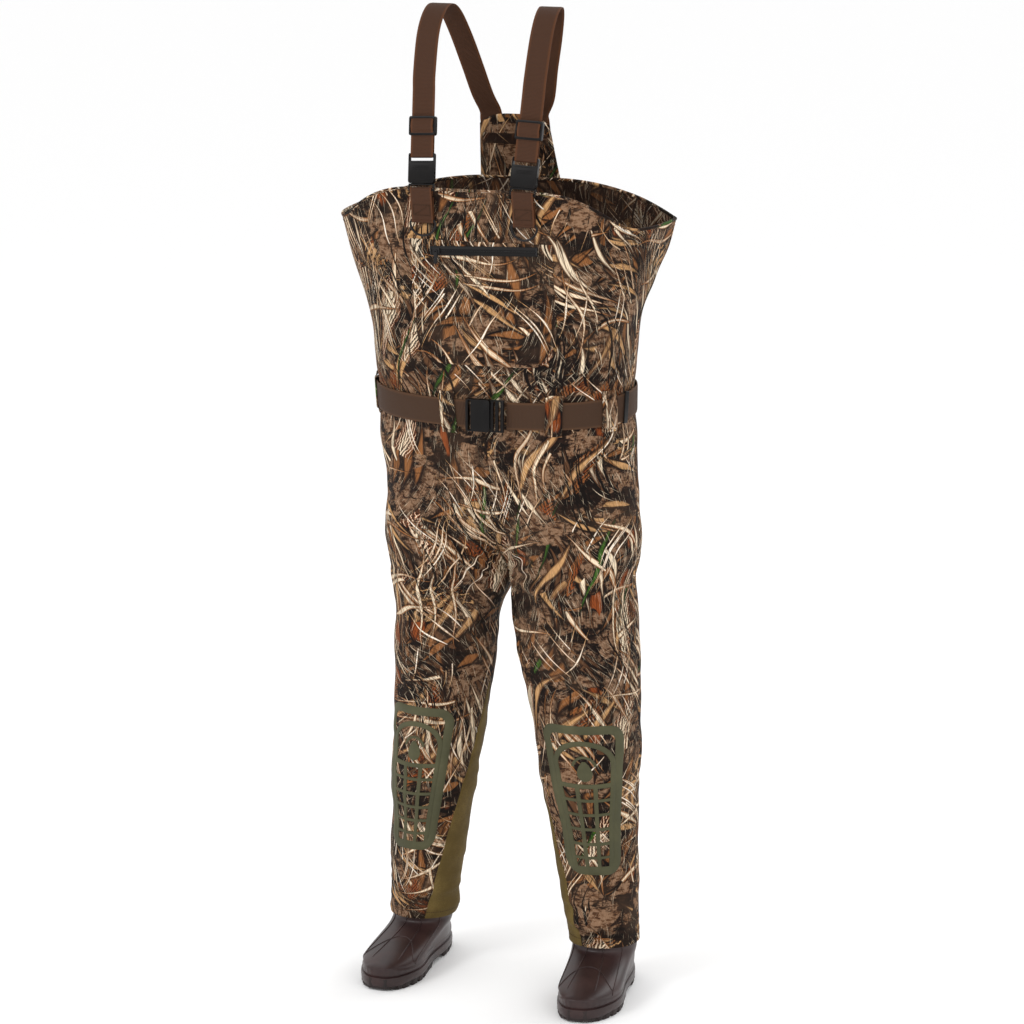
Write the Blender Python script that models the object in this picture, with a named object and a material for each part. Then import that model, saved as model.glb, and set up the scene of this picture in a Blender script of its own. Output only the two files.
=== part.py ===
"""Chest waders with bonded rubber boots, as separate panels, webbing, buckles and boot pieces.

Metres, +Z up. The wearer faces -Y and +X is the wearer's left. The soles stand on z = 0.
"""

import math

import bmesh
import bpy
import numpy as np
from mathutils import Matrix, Vector

# ---- Clearances and walls -------------------------------------------------------------------
GAP = 0.0003  # between pieces that touch on the real garment
SEAM = 0.0006  # share of a leg's girth left open at each seam
TORSO_SEAM = 0.00001  # the same for the torso's front, which turns sharply there
TORSO_BACK_SEAM = 0.0001
WALL = 0.004  # shell fabric
SHIFT_Y = -0.010  # puts the middle of the bounding box on the Z axis

# ---- Shell heights --------------------------------------------------------------------------
HEM_Z = 0.086
CALF_Z = 0.250
KNEE_Z = 0.400
THIGH_Z = 0.600
CROTCH_Z = 0.727
SPLIT_Z = 0.790  # where the leg panels meet the torso panels
HIP_Z = 0.830
WAIST_Z = 1.020
RIB_Z = 1.150
CHEST_Z = 1.283
SIDE_RIM_Z = 1.329
BACK_RIM_Z = 1.378
FRONT_RIM_Z = 1.391
CROTCH_BLEND = 0.130  # height over which two legs become one torso

# ---- Shell widths (half) and depths ---------------------------------------------------------
THIGH_TOP_HALF = 0.1042
THIGH_HALF = 0.0945
KNEE_HALF = 0.0800
CALF_HALF = 0.0680
HEM_HALF = 0.0575
LEG_DEPTH_SHARE = 1.0  # a leg's depth over its width
HIP_HALF = 0.2155
WAIST_HALF = 0.2165
RIB_HALF = 0.2235
CHEST_HALF = 0.2630
RIM_HALF = 0.2910
HIP_FRONT, HIP_BACK = 0.130, 0.104
WAIST_FRONT, WAIST_BACK = 0.124, 0.112
RIB_FRONT, RIB_BACK = 0.143, 0.104
CHEST_FRONT, CHEST_BACK = 0.199, 0.069
RIM_FRONT, RIM_BACK = 0.212, 0.051
HIP_MIDDLE_Y, WAIST_MIDDLE_Y, RIB_MIDDLE_Y = 0.042, 0.006, 0.010  # where each is widest
CHEST_MIDDLE_Y, RIM_MIDDLE_Y = 0.040, 0.045
CHEST_SQUARE = 3.2  # superellipse exponent of the flat chest front
ROUND = 2.2  # the same for the rest

# ---- Where the legs stand -------------------------------------------------------------------
HIP_X, HIP_Y = 0.1045, 0.034
ANKLE_Z = 0.100
ANKLES = {"left": (0.154, 0.060), "right": (0.188, 0.110)}
# One trouser leg is stuffed fuller than the other: each one's share of the even width.
CALF_FULLNESS = {"left": 1.06, "right": 1.00}
THIGH_FULLNESS = {"left": 1.09, "right": 0.93}
FULLNESS_FADE = 0.10  # height below the crotch over which it sets in
TOE_OUT_DEG = {"left": 4.0, "right": 4.0}
FOOT_ASIDE = 0.008  # the sole's middle outside the ankle's
FOOT_AHEAD = 0.008
SIDES = {"left": 1, "right": -1}

# ---- Gussets and knee grips -----------------------------------------------------------------
GUSSET_TOP_Z = 0.520
GUSSET_HEM_SHARE = 0.19  # share of the hem girth on each side of the inner seam
GUSSET_TIP_SHARE = 0.008
KNEE_GRIP_TOP_Z, KNEE_GRIP_BOTTOM_Z = 0.486, 0.219
KNEE_GRIP_MIDDLE = 0.285  # share of the girth from the inner seam
KNEE_GRIP_TOP_SPAN, KNEE_GRIP_BOTTOM_SPAN = 0.27, 0.22
KNEE_GRIP_STAND, KNEE_GRIP_THICK = 0.0013, 0.0012

# ---- Yoke -----------------------------------------------------------------------------------
YOKE_BASE_HALF, YOKE_TOP_HALF = 0.070, 0.060
YOKE_TOP_Z = 1.487
YOKE_LEAN = 0.34
YOKE_ASIDE = -0.008  # the back hangs a little to the wearer's right
YOKE_CORNER = 0.018  # how far the corners fall below the top edge

# ---- Webbing --------------------------------------------------------------------------------
WEB_WIDTH = 0.038
WEB_THICK = 0.0018
LOOP_LAYER_OFFSET = 0.0028  # middle of each loop layer from the strap's middle plane

# ---- Shoulder buckles, in a frame whose +V runs up the strap -----------------------------------
BUCKLE_X, BUCKLE_Z = 0.0855, 1.400
STRAP_RISE = (0.045, 0.214, 0.976)
BUCKLE_STAND = 0.0085  # the strap's middle plane in front of the chest
SOCKET_WIDTH, SOCKET_LENGTH, SOCKET_THICK = WEB_WIDTH + 0.0055, 0.036, 0.0100
SOCKET_WALL = 0.0016
SOCKET_BAR = 0.0060
SOCKET_SLOT = 0.0070
CLIP_BASE = 0.0120
CLIP_BAR = 0.0034
ARM_WIDTH, ARM_THICK = 0.0050, 0.0042
WINDOW_LOW, WINDOW_HIGH = 0.0090, 0.0180
LATCH_REACH = 0.0010
BUCKLE_CLEAR = 0.0005
ADJUSTER_LOW, ADJUSTER_LENGTH = 0.0765, 0.0310
ADJUSTER_WIDTH, ADJUSTER_THICK, ADJUSTER_WALL = WEB_WIDTH + 0.0065, 0.0110, 0.0016
STRAP_END_V = 0.0900
LOOP_END_V = 0.0960
STRAIGHT_END_V = 0.1780
# The route over the shoulder after the straight stretch, on the wearer's left, to the yoke's back.
SHOULDER_ROUTE = (
    (0.0955, -0.0985, 1.630),
    (0.0950, -0.0700, 1.663),
    (0.0930, -0.0380, 1.674),
    (0.0875, -0.0120, 1.660),
    (0.0770, 0.0110, 1.620),
    (0.0640, 0.0300, 1.568),
    (0.0530, 0.0480, 1.520),
)
STRAPS_ASIDE = -0.005  # both straps lean a little to the wearer's right
STRAP_TAIL = 0.040  # sewn down behind the yoke
STRAP_YOKE_X = 0.041

# ---- Chest tabs and D-rings -----------------------------------------------------------------
TAB_WIDTH = WEB_WIDTH - 0.0020
RING_Z = 1.3395
RING_HALF, RING_DROP, RING_WIRE = WEB_WIDTH / 2 + 0.0025, 0.0245, 0.0014
RING_BORE = 0.0024
RING_STAND = 0.0062

# ---- Chest pocket ---------------------------------------------------------------------------
POCKET_LEFT_X, POCKET_RIGHT_X = 0.128, -0.112
POCKET_TOP_Z, POCKET_BOTTOM_Z = 1.308, 1.100
POCKET_CORNER = 0.050
POCKET_THICK = 0.0020
ZIP_START_X, ZIP_END_X, ZIP_Z = -0.075, 0.107, 1.2905
ZIP_TILT_DEG = 2.0
ZIP_HEIGHT, ZIP_THICK = 0.0150, 0.0012
TEETH_HEIGHT, TEETH_THICK = 0.0050, 0.0014
SLIDER_START, SLIDER_LENGTH, SLIDER_HEIGHT = 0.0055, 0.0120, 0.0095
SLIDER_CLEAR, SLIDER_WALL = 0.0004, 0.0014
PULL_LENGTH, PULL_WIDTH, PULL_THICK = 0.0200, 0.0060, 0.0016
PULL_STAND = 0.0030  # its pin in front of the slider's face, so that its tail turns clear

# ---- Belt -----------------------------------------------------------------------------------
BELT_FRONT_Z, BELT_BACK_Z = 1.018, 1.044
BELT_HEIGHT, BELT_THICK, BELT_STAND = 0.046, 0.0022, 0.0012
BELT_SOCKET_X, BELT_SOCKET_LENGTH = -0.0265, 0.0410
BELT_BUCKLE_HEIGHT, BELT_BUCKLE_THICK = BELT_HEIGHT + 0.0070, 0.0110
BELT_BUCKLE_STAND = 0.0014
BELT_LADDER = 0.0230
BELT_LOOP_WIDTH, BELT_LOOP_HEIGHT, BELT_LOOP_THICK = 0.028, BELT_HEIGHT + 0.0240, 0.0012
BELT_LOOP_STAND = 0.0014
# Share of the half girth from the front centre, and the side that each loop is on.
BELT_LOOPS = (
    ("front_right", -1, 0.067),
    ("side_right", -1, 0.425),
    ("back_right", -1, 0.800),
    ("front_left", 1, 0.152),
    ("side_left", 1, 0.344),
    ("back_left", 1, 0.800),
)
KEEPER_SHARE, KEEPER_LENGTH = 0.425, 0.010

# ---- Boots, in a frame whose +Y runs from the ankle to the toe ---------------------------------
TOE_REACH, HEEL_REACH = 0.185, 0.100
BALL_HALF, ARCH_HALF, HEEL_HALF = 0.0530, 0.0400, 0.0385
SOLE_EDGE = 0.0035
SOLE_THICK = 0.0215
LUG_DEPTH = 0.0045
ARCH_RISE = 0.0085
TOE_SPRING = 0.004  # how far the sole's front edge clears the ground
FOOT_END_POWER = 0.9  # below 1 makes the plan's two ends blunter
BLUNT = 0.985  # the end slices stop here, short of the plan's very tips
UPPER_WALL = 0.0035
SHAFT_TOP_Z = 0.175
SHAFT_CLEAR = 0.0020
COLLAR_DROP = 0.006  # the upper is already as slim as the leg this far below the hem
UPPER_ROWS, UPPER_COLUMNS = 7, 24
INSOLE_THICK, INSOLE_CLEAR = 0.0040, 0.0012
PATCH_STAND = 0.0008
BUMPER_THICK, BUMPER_REACH, BUMPER_ROWS = 0.0022, 4, 4
COUNTER_THICK, COUNTER_REACH, COUNTER_ROWS = 0.0020, 3, 6

# ---- Colours --------------------------------------------------------------------------------
CAMO = (0.19, 0.14, 0.095)
OLIVE = (0.105, 0.080, 0.026)
GRIP = (0.085, 0.105, 0.052)
WEBBING = (0.070, 0.030, 0.016)
BOOT = (0.044, 0.025, 0.021)
SOLE = (0.020, 0.016, 0.016)
BLACK = (0.012, 0.012, 0.013)
GUNMETAL = (0.060, 0.062, 0.068)
FELT = (0.060, 0.058, 0.055)


# ---- Scene helpers --------------------------------------------------------------------------
def clear_scene():
    for obj in list(bpy.data.objects):
        bpy.data.objects.remove(obj)


def material(name, colour, roughness, metallic=0.0):
    made = bpy.data.materials.new(name)
    made.use_nodes = True
    shader = made.node_tree.nodes["Principled BSDF"]
    shader.inputs["Base Color"].default_value = (*colour, 1.0)
    shader.inputs["Roughness"].default_value = roughness
    shader.inputs["Metallic"].default_value = metallic
    return made


def add_object(name, points, faces, look, matrix=None):
    """An object from points and faces, with its faces turned outwards."""
    mesh = bpy.data.meshes.new(name)
    mesh.from_pydata([tuple(map(float, p)) for p in points], [], faces)
    work = bmesh.new()
    work.from_mesh(mesh)
    bmesh.ops.recalc_face_normals(work, faces=work.faces)
    bmesh.ops.triangulate(work, faces=work.faces)
    work.to_mesh(mesh)
    work.free()
    mesh.shade_smooth()
    mesh.set_sharp_from_angle(angle=math.radians(40))
    obj = bpy.data.objects.new(name, mesh)
    if look:
        mesh.materials.append(material(name, *look))
    if matrix is not None:
        obj.matrix_world = matrix
    bpy.context.scene.collection.objects.link(obj)
    return obj


def carve(obj, cutter):
    """Takes the cutter's shape out of the object."""
    cutter.hide_render = True
    cutter.display_type = "WIRE"
    modifier = obj.modifiers.new(cutter.name, "BOOLEAN")
    modifier.operation = "DIFFERENCE"
    modifier.solver = "EXACT"
    modifier.object = cutter


def grid_faces(rows, columns, first=0, flip=False, wrap=False):
    """Quads between neighbouring points of a grid whose points are numbered row by row."""
    faces = []
    for i in range(rows - 1):
        for j in range(columns if wrap else columns - 1):
            k = (j + 1) % columns
            quad = (first + i * columns + j, first + i * columns + k,
                    first + (i + 1) * columns + k, first + (i + 1) * columns + j)
            faces.append(quad[::-1] if flip else quad)
    return faces


def shell_from_grids(name, outer, inner, look):
    """A closed sheet between two grids of points, stitched round its four edges."""
    rows, columns = outer.shape[:2]
    count = rows * columns
    faces = grid_faces(rows, columns) + grid_faces(rows, columns, count, flip=True)
    edge = list(range(columns))
    edge += [i * columns + columns - 1 for i in range(1, rows)]
    edge += [(rows - 1) * columns + j for j in range(columns - 2, -1, -1)]
    edge += [i * columns for i in range(rows - 2, 0, -1)]
    for a, b in zip(edge, edge[1:] + edge[:1]):
        faces.append((a, a + count, b + count, b))
    points = np.concatenate([outer.reshape(-1, 3), inner.reshape(-1, 3)])
    return add_object(name, points, faces, look)


def tube_from_grids(name, outer, inner, look):
    """A closed pipe wall between two grids whose columns run all the way round."""
    rows, columns = outer.shape[:2]
    count = rows * columns
    faces = grid_faces(rows, columns, wrap=True)
    faces += grid_faces(rows, columns, count, flip=True, wrap=True)
    for base in (0, (rows - 1) * columns):
        for j in range(columns):
            a, b = base + j, base + (j + 1) % columns
            faces.append((a, b, b + count, a + count))
    points = np.concatenate([outer.reshape(-1, 3), inner.reshape(-1, 3)])
    return add_object(name, points, faces, look)


def prism(name, outline, low, high, look, matrix=None):
    """An outline in the local XZ plane, extruded along local Y from low to high."""
    count = len(outline)
    points = [(x, low, z) for x, z in outline] + [(x, high, z) for x, z in outline]
    faces = [tuple(range(count)), tuple(range(2 * count - 1, count - 1, -1))]
    for i in range(count):
        j = (i + 1) % count
        faces.append((i, j, j + count, i + count))
    return add_object(name, points, faces, look, matrix)


def side_prism(name, outline, low, high, look, matrix=None):
    """An outline in the local YZ plane, extruded along local X from low to high."""
    count = len(outline)
    points = [(low, y, z) for y, z in outline] + [(high, y, z) for y, z in outline]
    faces = [tuple(range(count)), tuple(range(2 * count - 1, count - 1, -1))]
    for i in range(count):
        j = (i + 1) % count
        faces.append((i, j, j + count, i + count))
    return add_object(name, points, faces, look, matrix)


def circle(y, z, radius, sides=14):
    turns = [2 * math.pi * k / sides for k in range(sides)]
    return [(y + radius * math.cos(t), z + radius * math.sin(t)) for t in turns]


def rectangle(x0, z0, x1, z1):
    return [(x0, z0), (x1, z0), (x1, z1), (x0, z1)]


def rounded_rectangle(x0, z0, x1, z1, radius, steps=2):
    """A rectangle with round corners, counter-clockwise."""
    outline = []
    corners = ((x1, z0, -90), (x1, z1, 0), (x0, z1, 90), (x0, z0, 180))
    for x, z, start in corners:
        cx = x - math.copysign(radius, x - (x0 + x1) / 2)
        cz = z - math.copysign(radius, z - (z0 + z1) / 2)
        for k in range(steps + 1):
            angle = math.radians(start + 90 * k / steps)
            outline.append((cx + radius * math.cos(angle), cz + radius * math.sin(angle)))
    return outline


def box(name, low, high, look=None, matrix=None):
    return prism(name, rectangle(low[0], low[2], high[0], high[2]), low[1], high[1], look, matrix)


def ribbon(name, middles, across, width, thick, look):
    """A flat strip with square edges, swept along its middle line."""
    middles = np.array(middles, float)
    across = np.array(across, float)
    across /= np.linalg.norm(across, axis=1)[:, None]
    along = np.gradient(middles, axis=0)
    along /= np.linalg.norm(along, axis=1)[:, None]
    across -= (across * along).sum(axis=1)[:, None] * along
    across /= np.linalg.norm(across, axis=1)[:, None]
    normal = np.cross(across, along)
    corners = []
    for a, n in ((-1, -1), (1, -1), (1, 1), (-1, 1)):
        corners.append(middles + across * a * width / 2 + normal * n * thick / 2)
    points = np.stack(corners, axis=1).reshape(-1, 3)
    rows = len(middles)
    faces = grid_faces(rows, 4, wrap=True)
    faces += [(0, 1, 2, 3), tuple(range(4 * rows - 1, 4 * rows - 5, -1))]
    return add_object(name, points, faces, look)


# ---- Curves ---------------------------------------------------------------------------------
def smooth_step(t):
    t = np.clip(t, 0.0, 1.0)
    return t * t * (3 - 2 * t)


def through(stations, at):
    """A smooth value at a height, through (height, value) stations."""
    heights = np.array([s[0] for s in stations], float)
    values = np.array([s[1] for s in stations], float)
    slopes = np.gradient(values, heights)
    at = np.clip(at, heights[0], heights[-1])
    i = min(int(np.searchsorted(heights, at, side="right")) - 1, len(heights) - 2)
    span = heights[i + 1] - heights[i]
    t = (at - heights[i]) / span
    a, b = values[i], values[i + 1]
    ma, mb = slopes[i] * span, slopes[i + 1] * span
    return ((2 * t**3 - 3 * t**2 + 1) * a + (t**3 - 2 * t**2 + t) * ma
            + (3 * t**2 - 2 * t**3) * b + (t**3 - t**2) * mb)


def curve_through(points, per_span):
    """A smooth line through control points, with per_span steps between neighbours."""
    points = np.array(points, float)
    slopes = np.gradient(points, axis=0)
    out = []
    for i in range(len(points) - 1):
        for k in range(per_span):
            t = k / per_span
            out.append((2 * t**3 - 3 * t**2 + 1) * points[i] + (t**3 - 2 * t**2 + t) * slopes[i]
                       + (3 * t**2 - 2 * t**3) * points[i + 1] + (t**3 - t**2) * slopes[i + 1])
    out.append(points[-1])
    return out


# ---- The shell's outer surface ---------------------------------------------------------------
LEG_WIDTHS = ((HEM_Z, HEM_HALF), (CALF_Z, CALF_HALF), (KNEE_Z, KNEE_HALF),
              (THIGH_Z, THIGH_HALF), (CROTCH_Z, THIGH_TOP_HALF))
TORSO_WIDTHS = ((CROTCH_Z, HIP_X + THIGH_TOP_HALF), (HIP_Z, HIP_HALF), (WAIST_Z, WAIST_HALF),
                (RIB_Z, RIB_HALF), (CHEST_Z, CHEST_HALF), (FRONT_RIM_Z, RIM_HALF))
TORSO_MIDDLES = ((CROTCH_Z, HIP_Y), (HIP_Z, HIP_MIDDLE_Y), (WAIST_Z, WAIST_MIDDLE_Y),
                 (RIB_Z, RIB_MIDDLE_Y), (CHEST_Z, CHEST_MIDDLE_Y), (FRONT_RIM_Z, RIM_MIDDLE_Y))
TORSO_FRONTS = ((CROTCH_Z, THIGH_TOP_HALF), (HIP_Z, HIP_FRONT), (WAIST_Z, WAIST_FRONT),
                (RIB_Z, RIB_FRONT), (CHEST_Z, CHEST_FRONT), (FRONT_RIM_Z, RIM_FRONT))
TORSO_BACKS = ((CROTCH_Z, THIGH_TOP_HALF), (HIP_Z, HIP_BACK), (WAIST_Z, WAIST_BACK),
               (RIB_Z, RIB_BACK), (CHEST_Z, CHEST_BACK), (FRONT_RIM_Z, RIM_BACK))
FRONT_SQUARES = ((CROTCH_Z, ROUND), (WAIST_Z, 2.5), (CHEST_Z, CHEST_SQUARE),
                 (FRONT_RIM_Z, CHEST_SQUARE))
THIGH_GROWTH = 0.25  # how fast the thigh rounds go on widening inside the torso


def signed_power(value, power):
    return math.copysign(abs(value) ** power, value)


def torso_point(share, z):
    """Half the torso's section: share 0 is the front centre, 1 the back centre."""
    turn = math.pi * share
    front = math.cos(turn) > 0
    square = through(FRONT_SQUARES, z) if front else ROUND
    depth = through(TORSO_FRONTS if front else TORSO_BACKS, z)
    x = through(TORSO_WIDTHS, z) * signed_power(math.sin(turn), 2 / square)
    y = through(TORSO_MIDDLES, z) - depth * signed_power(math.cos(turn), 2 / square)
    return np.array([x, y])


def leg_point(side, share, z):
    """Half the leg's section: share runs from the inner seam over the front and back to it."""
    down = (CROTCH_Z - z) / (CROTCH_Z - ANKLE_Z)
    ankle_x, ankle_y = ANKLES[side]
    x = HIP_X + (ankle_x - HIP_X) * max(down, 0.0)
    y = HIP_Y + (ankle_y - HIP_Y) * max(down, 0.0)
    fade = float(smooth_step((CROTCH_Z - z) / FULLNESS_FADE))
    upward = float(smooth_step((z - CALF_Z) / (THIGH_Z - CALF_Z)))
    full = CALF_FULLNESS[side] + (THIGH_FULLNESS[side] - CALF_FULLNESS[side]) * upward
    half = through(LEG_WIDTHS, z) * (1 + (full - 1) * fade)
    half += THIGH_GROWTH * max(z - CROTCH_Z, 0.0)
    start = -math.asin(min(1.0, x / half)) if z > CROTCH_Z else -math.pi / 2
    turn = math.pi / 2 + (2 * share - 1) * (math.pi / 2 - start)
    return np.array([x + half * math.sin(turn), y - LEG_DEPTH_SHARE * half * math.cos(turn)])


def shell_point(side, share, z):
    """A point on the outside of the shell."""
    joined = float(smooth_step((z - CROTCH_Z) / CROTCH_BLEND))
    flat = np.zeros(2)
    if joined < 1:
        flat += (1 - joined) * leg_point(side, share, z)
    if joined > 0:
        flat += joined * torso_point(share, z)
    return np.array([SIDES[side] * flat[0], flat[1] + SHIFT_Y, z])


def shell_normal(side, share, z):
    step = 1e-3
    round_it = shell_point(side, share + step, z) - shell_point(side, share - step, z)
    up = shell_point(side, share, z + step) - shell_point(side, share, z - step)
    normal = np.cross(round_it, up) * SIDES[side]
    return normal / np.linalg.norm(normal)


def skin(side, share, z, outward=0.0):
    """A point at a distance outside the shell's surface, or inside where that is negative."""
    return shell_point(side, share, z) + outward * shell_normal(side, share, z)


def front_y(x, z):
    """The shell's y on the chest, straight in front of (x, z)."""
    square = through(FRONT_SQUARES, z)
    across = min(1.0, abs(x) / through(TORSO_WIDTHS, z))
    depth = through(TORSO_FRONTS, z) * (1 - across**square) ** (1 / square)
    return SHIFT_Y + through(TORSO_MIDDLES, z) - depth


def back_y(x, z):
    across = min(1.0, abs(x) / through(TORSO_WIDTHS, z))
    depth = through(TORSO_BACKS, z) * (1 - across**ROUND) ** (1 / ROUND)
    return SHIFT_Y + through(TORSO_MIDDLES, z) + depth


def rim_z(share):
    """The top edge: high across the chest and the back, low under the arms."""
    if share < 0.5:
        return FRONT_RIM_Z - (FRONT_RIM_Z - SIDE_RIM_Z) * float(smooth_step((share - 0.06) / 0.28))
    return BACK_RIM_Z - (BACK_RIM_Z - SIDE_RIM_Z) * float(smooth_step((0.95 - share) / 0.40))


# ---- Shell panels ----------------------------------------------------------------------------
def skin_patch(name, places, low, high, look):
    """A sheet over the shell: places is a grid of (side, share, z), low and high its faces."""
    outer = np.array([[skin(*place, high) for place in row] for row in places])
    inner = np.array([[skin(*place, low) for place in row] for row in places])
    return shell_from_grids(name, outer, inner, look)


def torso_panel(name, first, last, look):
    """A panel between two shares of the half girth, over both sides of the middle."""
    columns, rows = 9, 11
    shares = np.linspace(first, last, columns)
    if first == 0.0:
        around = [("right", s) for s in shares[::-1]] + [("left", s) for s in shares[1:]]
    else:
        around = [("left", s) for s in shares] + [("right", s) for s in shares[-2::-1]]
    places = []
    for k in range(rows):
        row = []
        for side, share in around:
            low = SPLIT_Z + GAP / 2
            row.append((side, share, low + (rim_z(share) - low) * k / (rows - 1)))
        places.append(row)
    return skin_patch(name, places, -WALL, 0.0, look)


def gusset_share(z):
    """How far the inner gusset reaches from the inner seam, as a share of the girth."""
    up = (z - HEM_Z) / (GUSSET_TOP_Z - HEM_Z)
    return GUSSET_HEM_SHARE + (GUSSET_TIP_SHARE - GUSSET_HEM_SHARE) * up


def leg_rows():
    """Heights of the leg panels' rows: even up the leg, close together round the crotch."""
    below = list(np.linspace(HEM_Z, GUSSET_TOP_Z - GAP, 8))
    between = [GUSSET_TOP_Z + GAP, 0.5 * (GUSSET_TOP_Z + CROTCH_Z)]
    crotch = [CROTCH_Z - 0.030, CROTCH_Z - 0.008, CROTCH_Z + 0.001, CROTCH_Z + 0.006]
    above = [CROTCH_Z + 0.018, CROTCH_Z + 0.038, SPLIT_Z - GAP / 2]
    return below, between + crotch + above


def keep_to_side(obj, side):
    """Holds a leg panel's points off the middle plane."""
    for vertex in obj.data.vertices:
        if vertex.co.x * SIDES[side] < GAP / 2:
            vertex.co.x = SIDES[side] * GAP / 2


def leg_panel(name, side, front, look):
    below, above = leg_rows()
    places = []
    for z in below + above:
        reach = gusset_share(z) if z in below else 0.0
        if front:
            shares = np.linspace(reach + SEAM, 0.5 - SEAM, 9)
        else:
            shares = np.linspace(0.5 + SEAM, 1 - reach - SEAM, 9)
        places.append([(side, s, z) for s in shares])
    keep_to_side(skin_patch(name, places, -WALL, 0.0, look), side)


def inner_gusset(name, side, look):
    places = []
    for z in leg_rows()[0]:
        reach = gusset_share(z) - SEAM
        places.append([(side, s, z) for s in np.linspace(-reach, reach, 8)])
    skin_patch(name, places, -WALL, 0.0, look)


def knee_grip(name, side, look):
    places = []
    for k in range(6):
        up = k / 5
        z = KNEE_GRIP_BOTTOM_Z + (KNEE_GRIP_TOP_Z - KNEE_GRIP_BOTTOM_Z) * up
        half = (KNEE_GRIP_BOTTOM_SPAN + (KNEE_GRIP_TOP_SPAN - KNEE_GRIP_BOTTOM_SPAN) * up) / 2
        middle = KNEE_GRIP_MIDDLE
        places.append([(side, s, z) for s in np.linspace(middle - half, middle + half, 7)])
    stand = KNEE_GRIP_STAND
    skin_patch(name, places, stand, stand + KNEE_GRIP_THICK, look)


def make_shell():
    camo, olive = (CAMO, 0.85), (OLIVE, 0.85)
    torso_panel("torso_front_panel", 0.0, 0.5 - TORSO_SEAM, camo)
    torso_panel("torso_back_panel", 0.5 + TORSO_BACK_SEAM, 1.0, camo)
    for side in SIDES:
        leg_panel(f"{side}_leg_front_panel", side, True, camo)
        leg_panel(f"{side}_leg_back_panel", side, False, camo)
        inner_gusset(f"{side}_inner_gusset", side, olive)
        knee_grip(f"{side}_knee_grip", side, (GRIP, 0.6))


# ---- Yoke ------------------------------------------------------------------------------------
def yoke_y(x, z):
    """The outside of the yoke, which goes on up from the back rim and leans forward."""
    return back_y(x, BACK_RIM_Z) - YOKE_LEAN * (z - BACK_RIM_Z)


def make_yoke():
    base = BACK_RIM_Z + GAP
    outer, inner = [], []
    for k in range(5):
        up = k / 4
        half = YOKE_BASE_HALF + (YOKE_TOP_HALF - YOKE_BASE_HALF) * up
        outer.append([])
        inner.append([])
        for t in np.linspace(-1, 1, 7):
            x = YOKE_ASIDE + half * t
            top = YOKE_TOP_Z - YOKE_CORNER * abs(t) ** 3
            z = base + (top - base) * up
            outer[-1].append((x, yoke_y(x, z), z))
            inner[-1].append((x, yoke_y(x, z) - WALL, z))
    shell_from_grids("back_yoke", np.array(outer), np.array(inner), (CAMO, 0.85))
    band_low, band_high = YOKE_TOP_Z - 0.052, YOKE_TOP_Z - 0.034
    outer, inner = [], []
    for z in (band_low, band_high):
        half = YOKE_TOP_HALF - 0.004
        columns = np.linspace(YOKE_ASIDE - half, YOKE_ASIDE + half, 5)
        outer.append([(x, yoke_y(x, z) - WALL - GAP, z) for x in columns])
        inner.append([(x, yoke_y(x, z) - WALL - GAP - 0.001, z) for x in columns])
    shell_from_grids("yoke_tape", np.array(outer), np.array(inner), (OLIVE, 0.85))


# ---- Shoulder buckles and straps -------------------------------------------------------------
def buckle_frame(side):
    """Local X across the strap, Y into the chest, Z up the strap, from the socket's mouth."""
    sign = SIDES[side]
    rise = Vector((sign * STRAP_RISE[0], STRAP_RISE[1], STRAP_RISE[2])).normalized()
    into = rise.cross(Vector((1, 0, 0))).normalized()
    across = into.cross(rise).normalized()
    origin = (sign * BUCKLE_X, front_y(BUCKLE_X, BUCKLE_Z) - BUCKLE_STAND, BUCKLE_Z)
    frame = Matrix((across, into, rise)).transposed().to_4x4()
    frame.translation = origin
    return frame


def buckle_socket(name, side, look):
    frame = buckle_frame(side)
    half, thick = SOCKET_WIDTH / 2, SOCKET_THICK / 2
    top = SOCKET_LENGTH + SOCKET_SLOT + SOCKET_BAR
    outline = rounded_rectangle(-half, 0.0, half, top, 0.0035)
    socket = prism(name, outline, -thick, thick, look, frame)
    inside = half - SOCKET_WALL
    room = thick - SOCKET_WALL
    depth = SOCKET_LENGTH - SOCKET_WALL
    carve(socket, box(f"{name}_room", (-inside, -room, -0.01), (inside, room, depth), matrix=frame))
    carve(socket, box(f"{name}_windows", (-half - 0.01, -room + 0.0004, WINDOW_LOW),
                      (half + 0.01, room - 0.0004, WINDOW_HIGH), matrix=frame))
    carve(socket, box(f"{name}_slot", (-inside, -0.02, SOCKET_LENGTH),
                      (inside, 0.02, SOCKET_LENGTH + SOCKET_SLOT), matrix=frame))
    thin = LOOP_LAYER_OFFSET - WEB_THICK / 2 - BUCKLE_CLEAR
    bar = SOCKET_LENGTH + SOCKET_SLOT
    for face, low, high in (("front", -0.02, -thin), ("back", thin, 0.02)):
        carve(socket, box(f"{name}_{face}_relief", (-inside, low, bar - 0.001),
                          (inside, high, top + 0.01), matrix=frame))


def buckle_clip(name, side, look):
    """The clip's base with its webbing bar and its middle tongue."""
    frame = buckle_frame(side)
    half = SOCKET_WIDTH / 2
    inside = half - SOCKET_WALL - BUCKLE_CLEAR
    tongue = 0.0060
    reach = SOCKET_LENGTH - SOCKET_WALL - 0.004
    low, high = -GAP - CLIP_BASE, -GAP
    outline = [(-half, low), (half, low), (half, high), (tongue, high), (tongue * 0.8, reach),
               (-tongue * 0.8, reach), (-tongue, high), (-half, high)]
    clip = prism(name, outline, -ARM_THICK / 2, ARM_THICK / 2, look, frame)
    carve(clip, box(f"{name}_slot", (-inside, -0.02, low + CLIP_BAR),
                    (inside, 0.02, high - 0.0026), matrix=frame))


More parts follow.
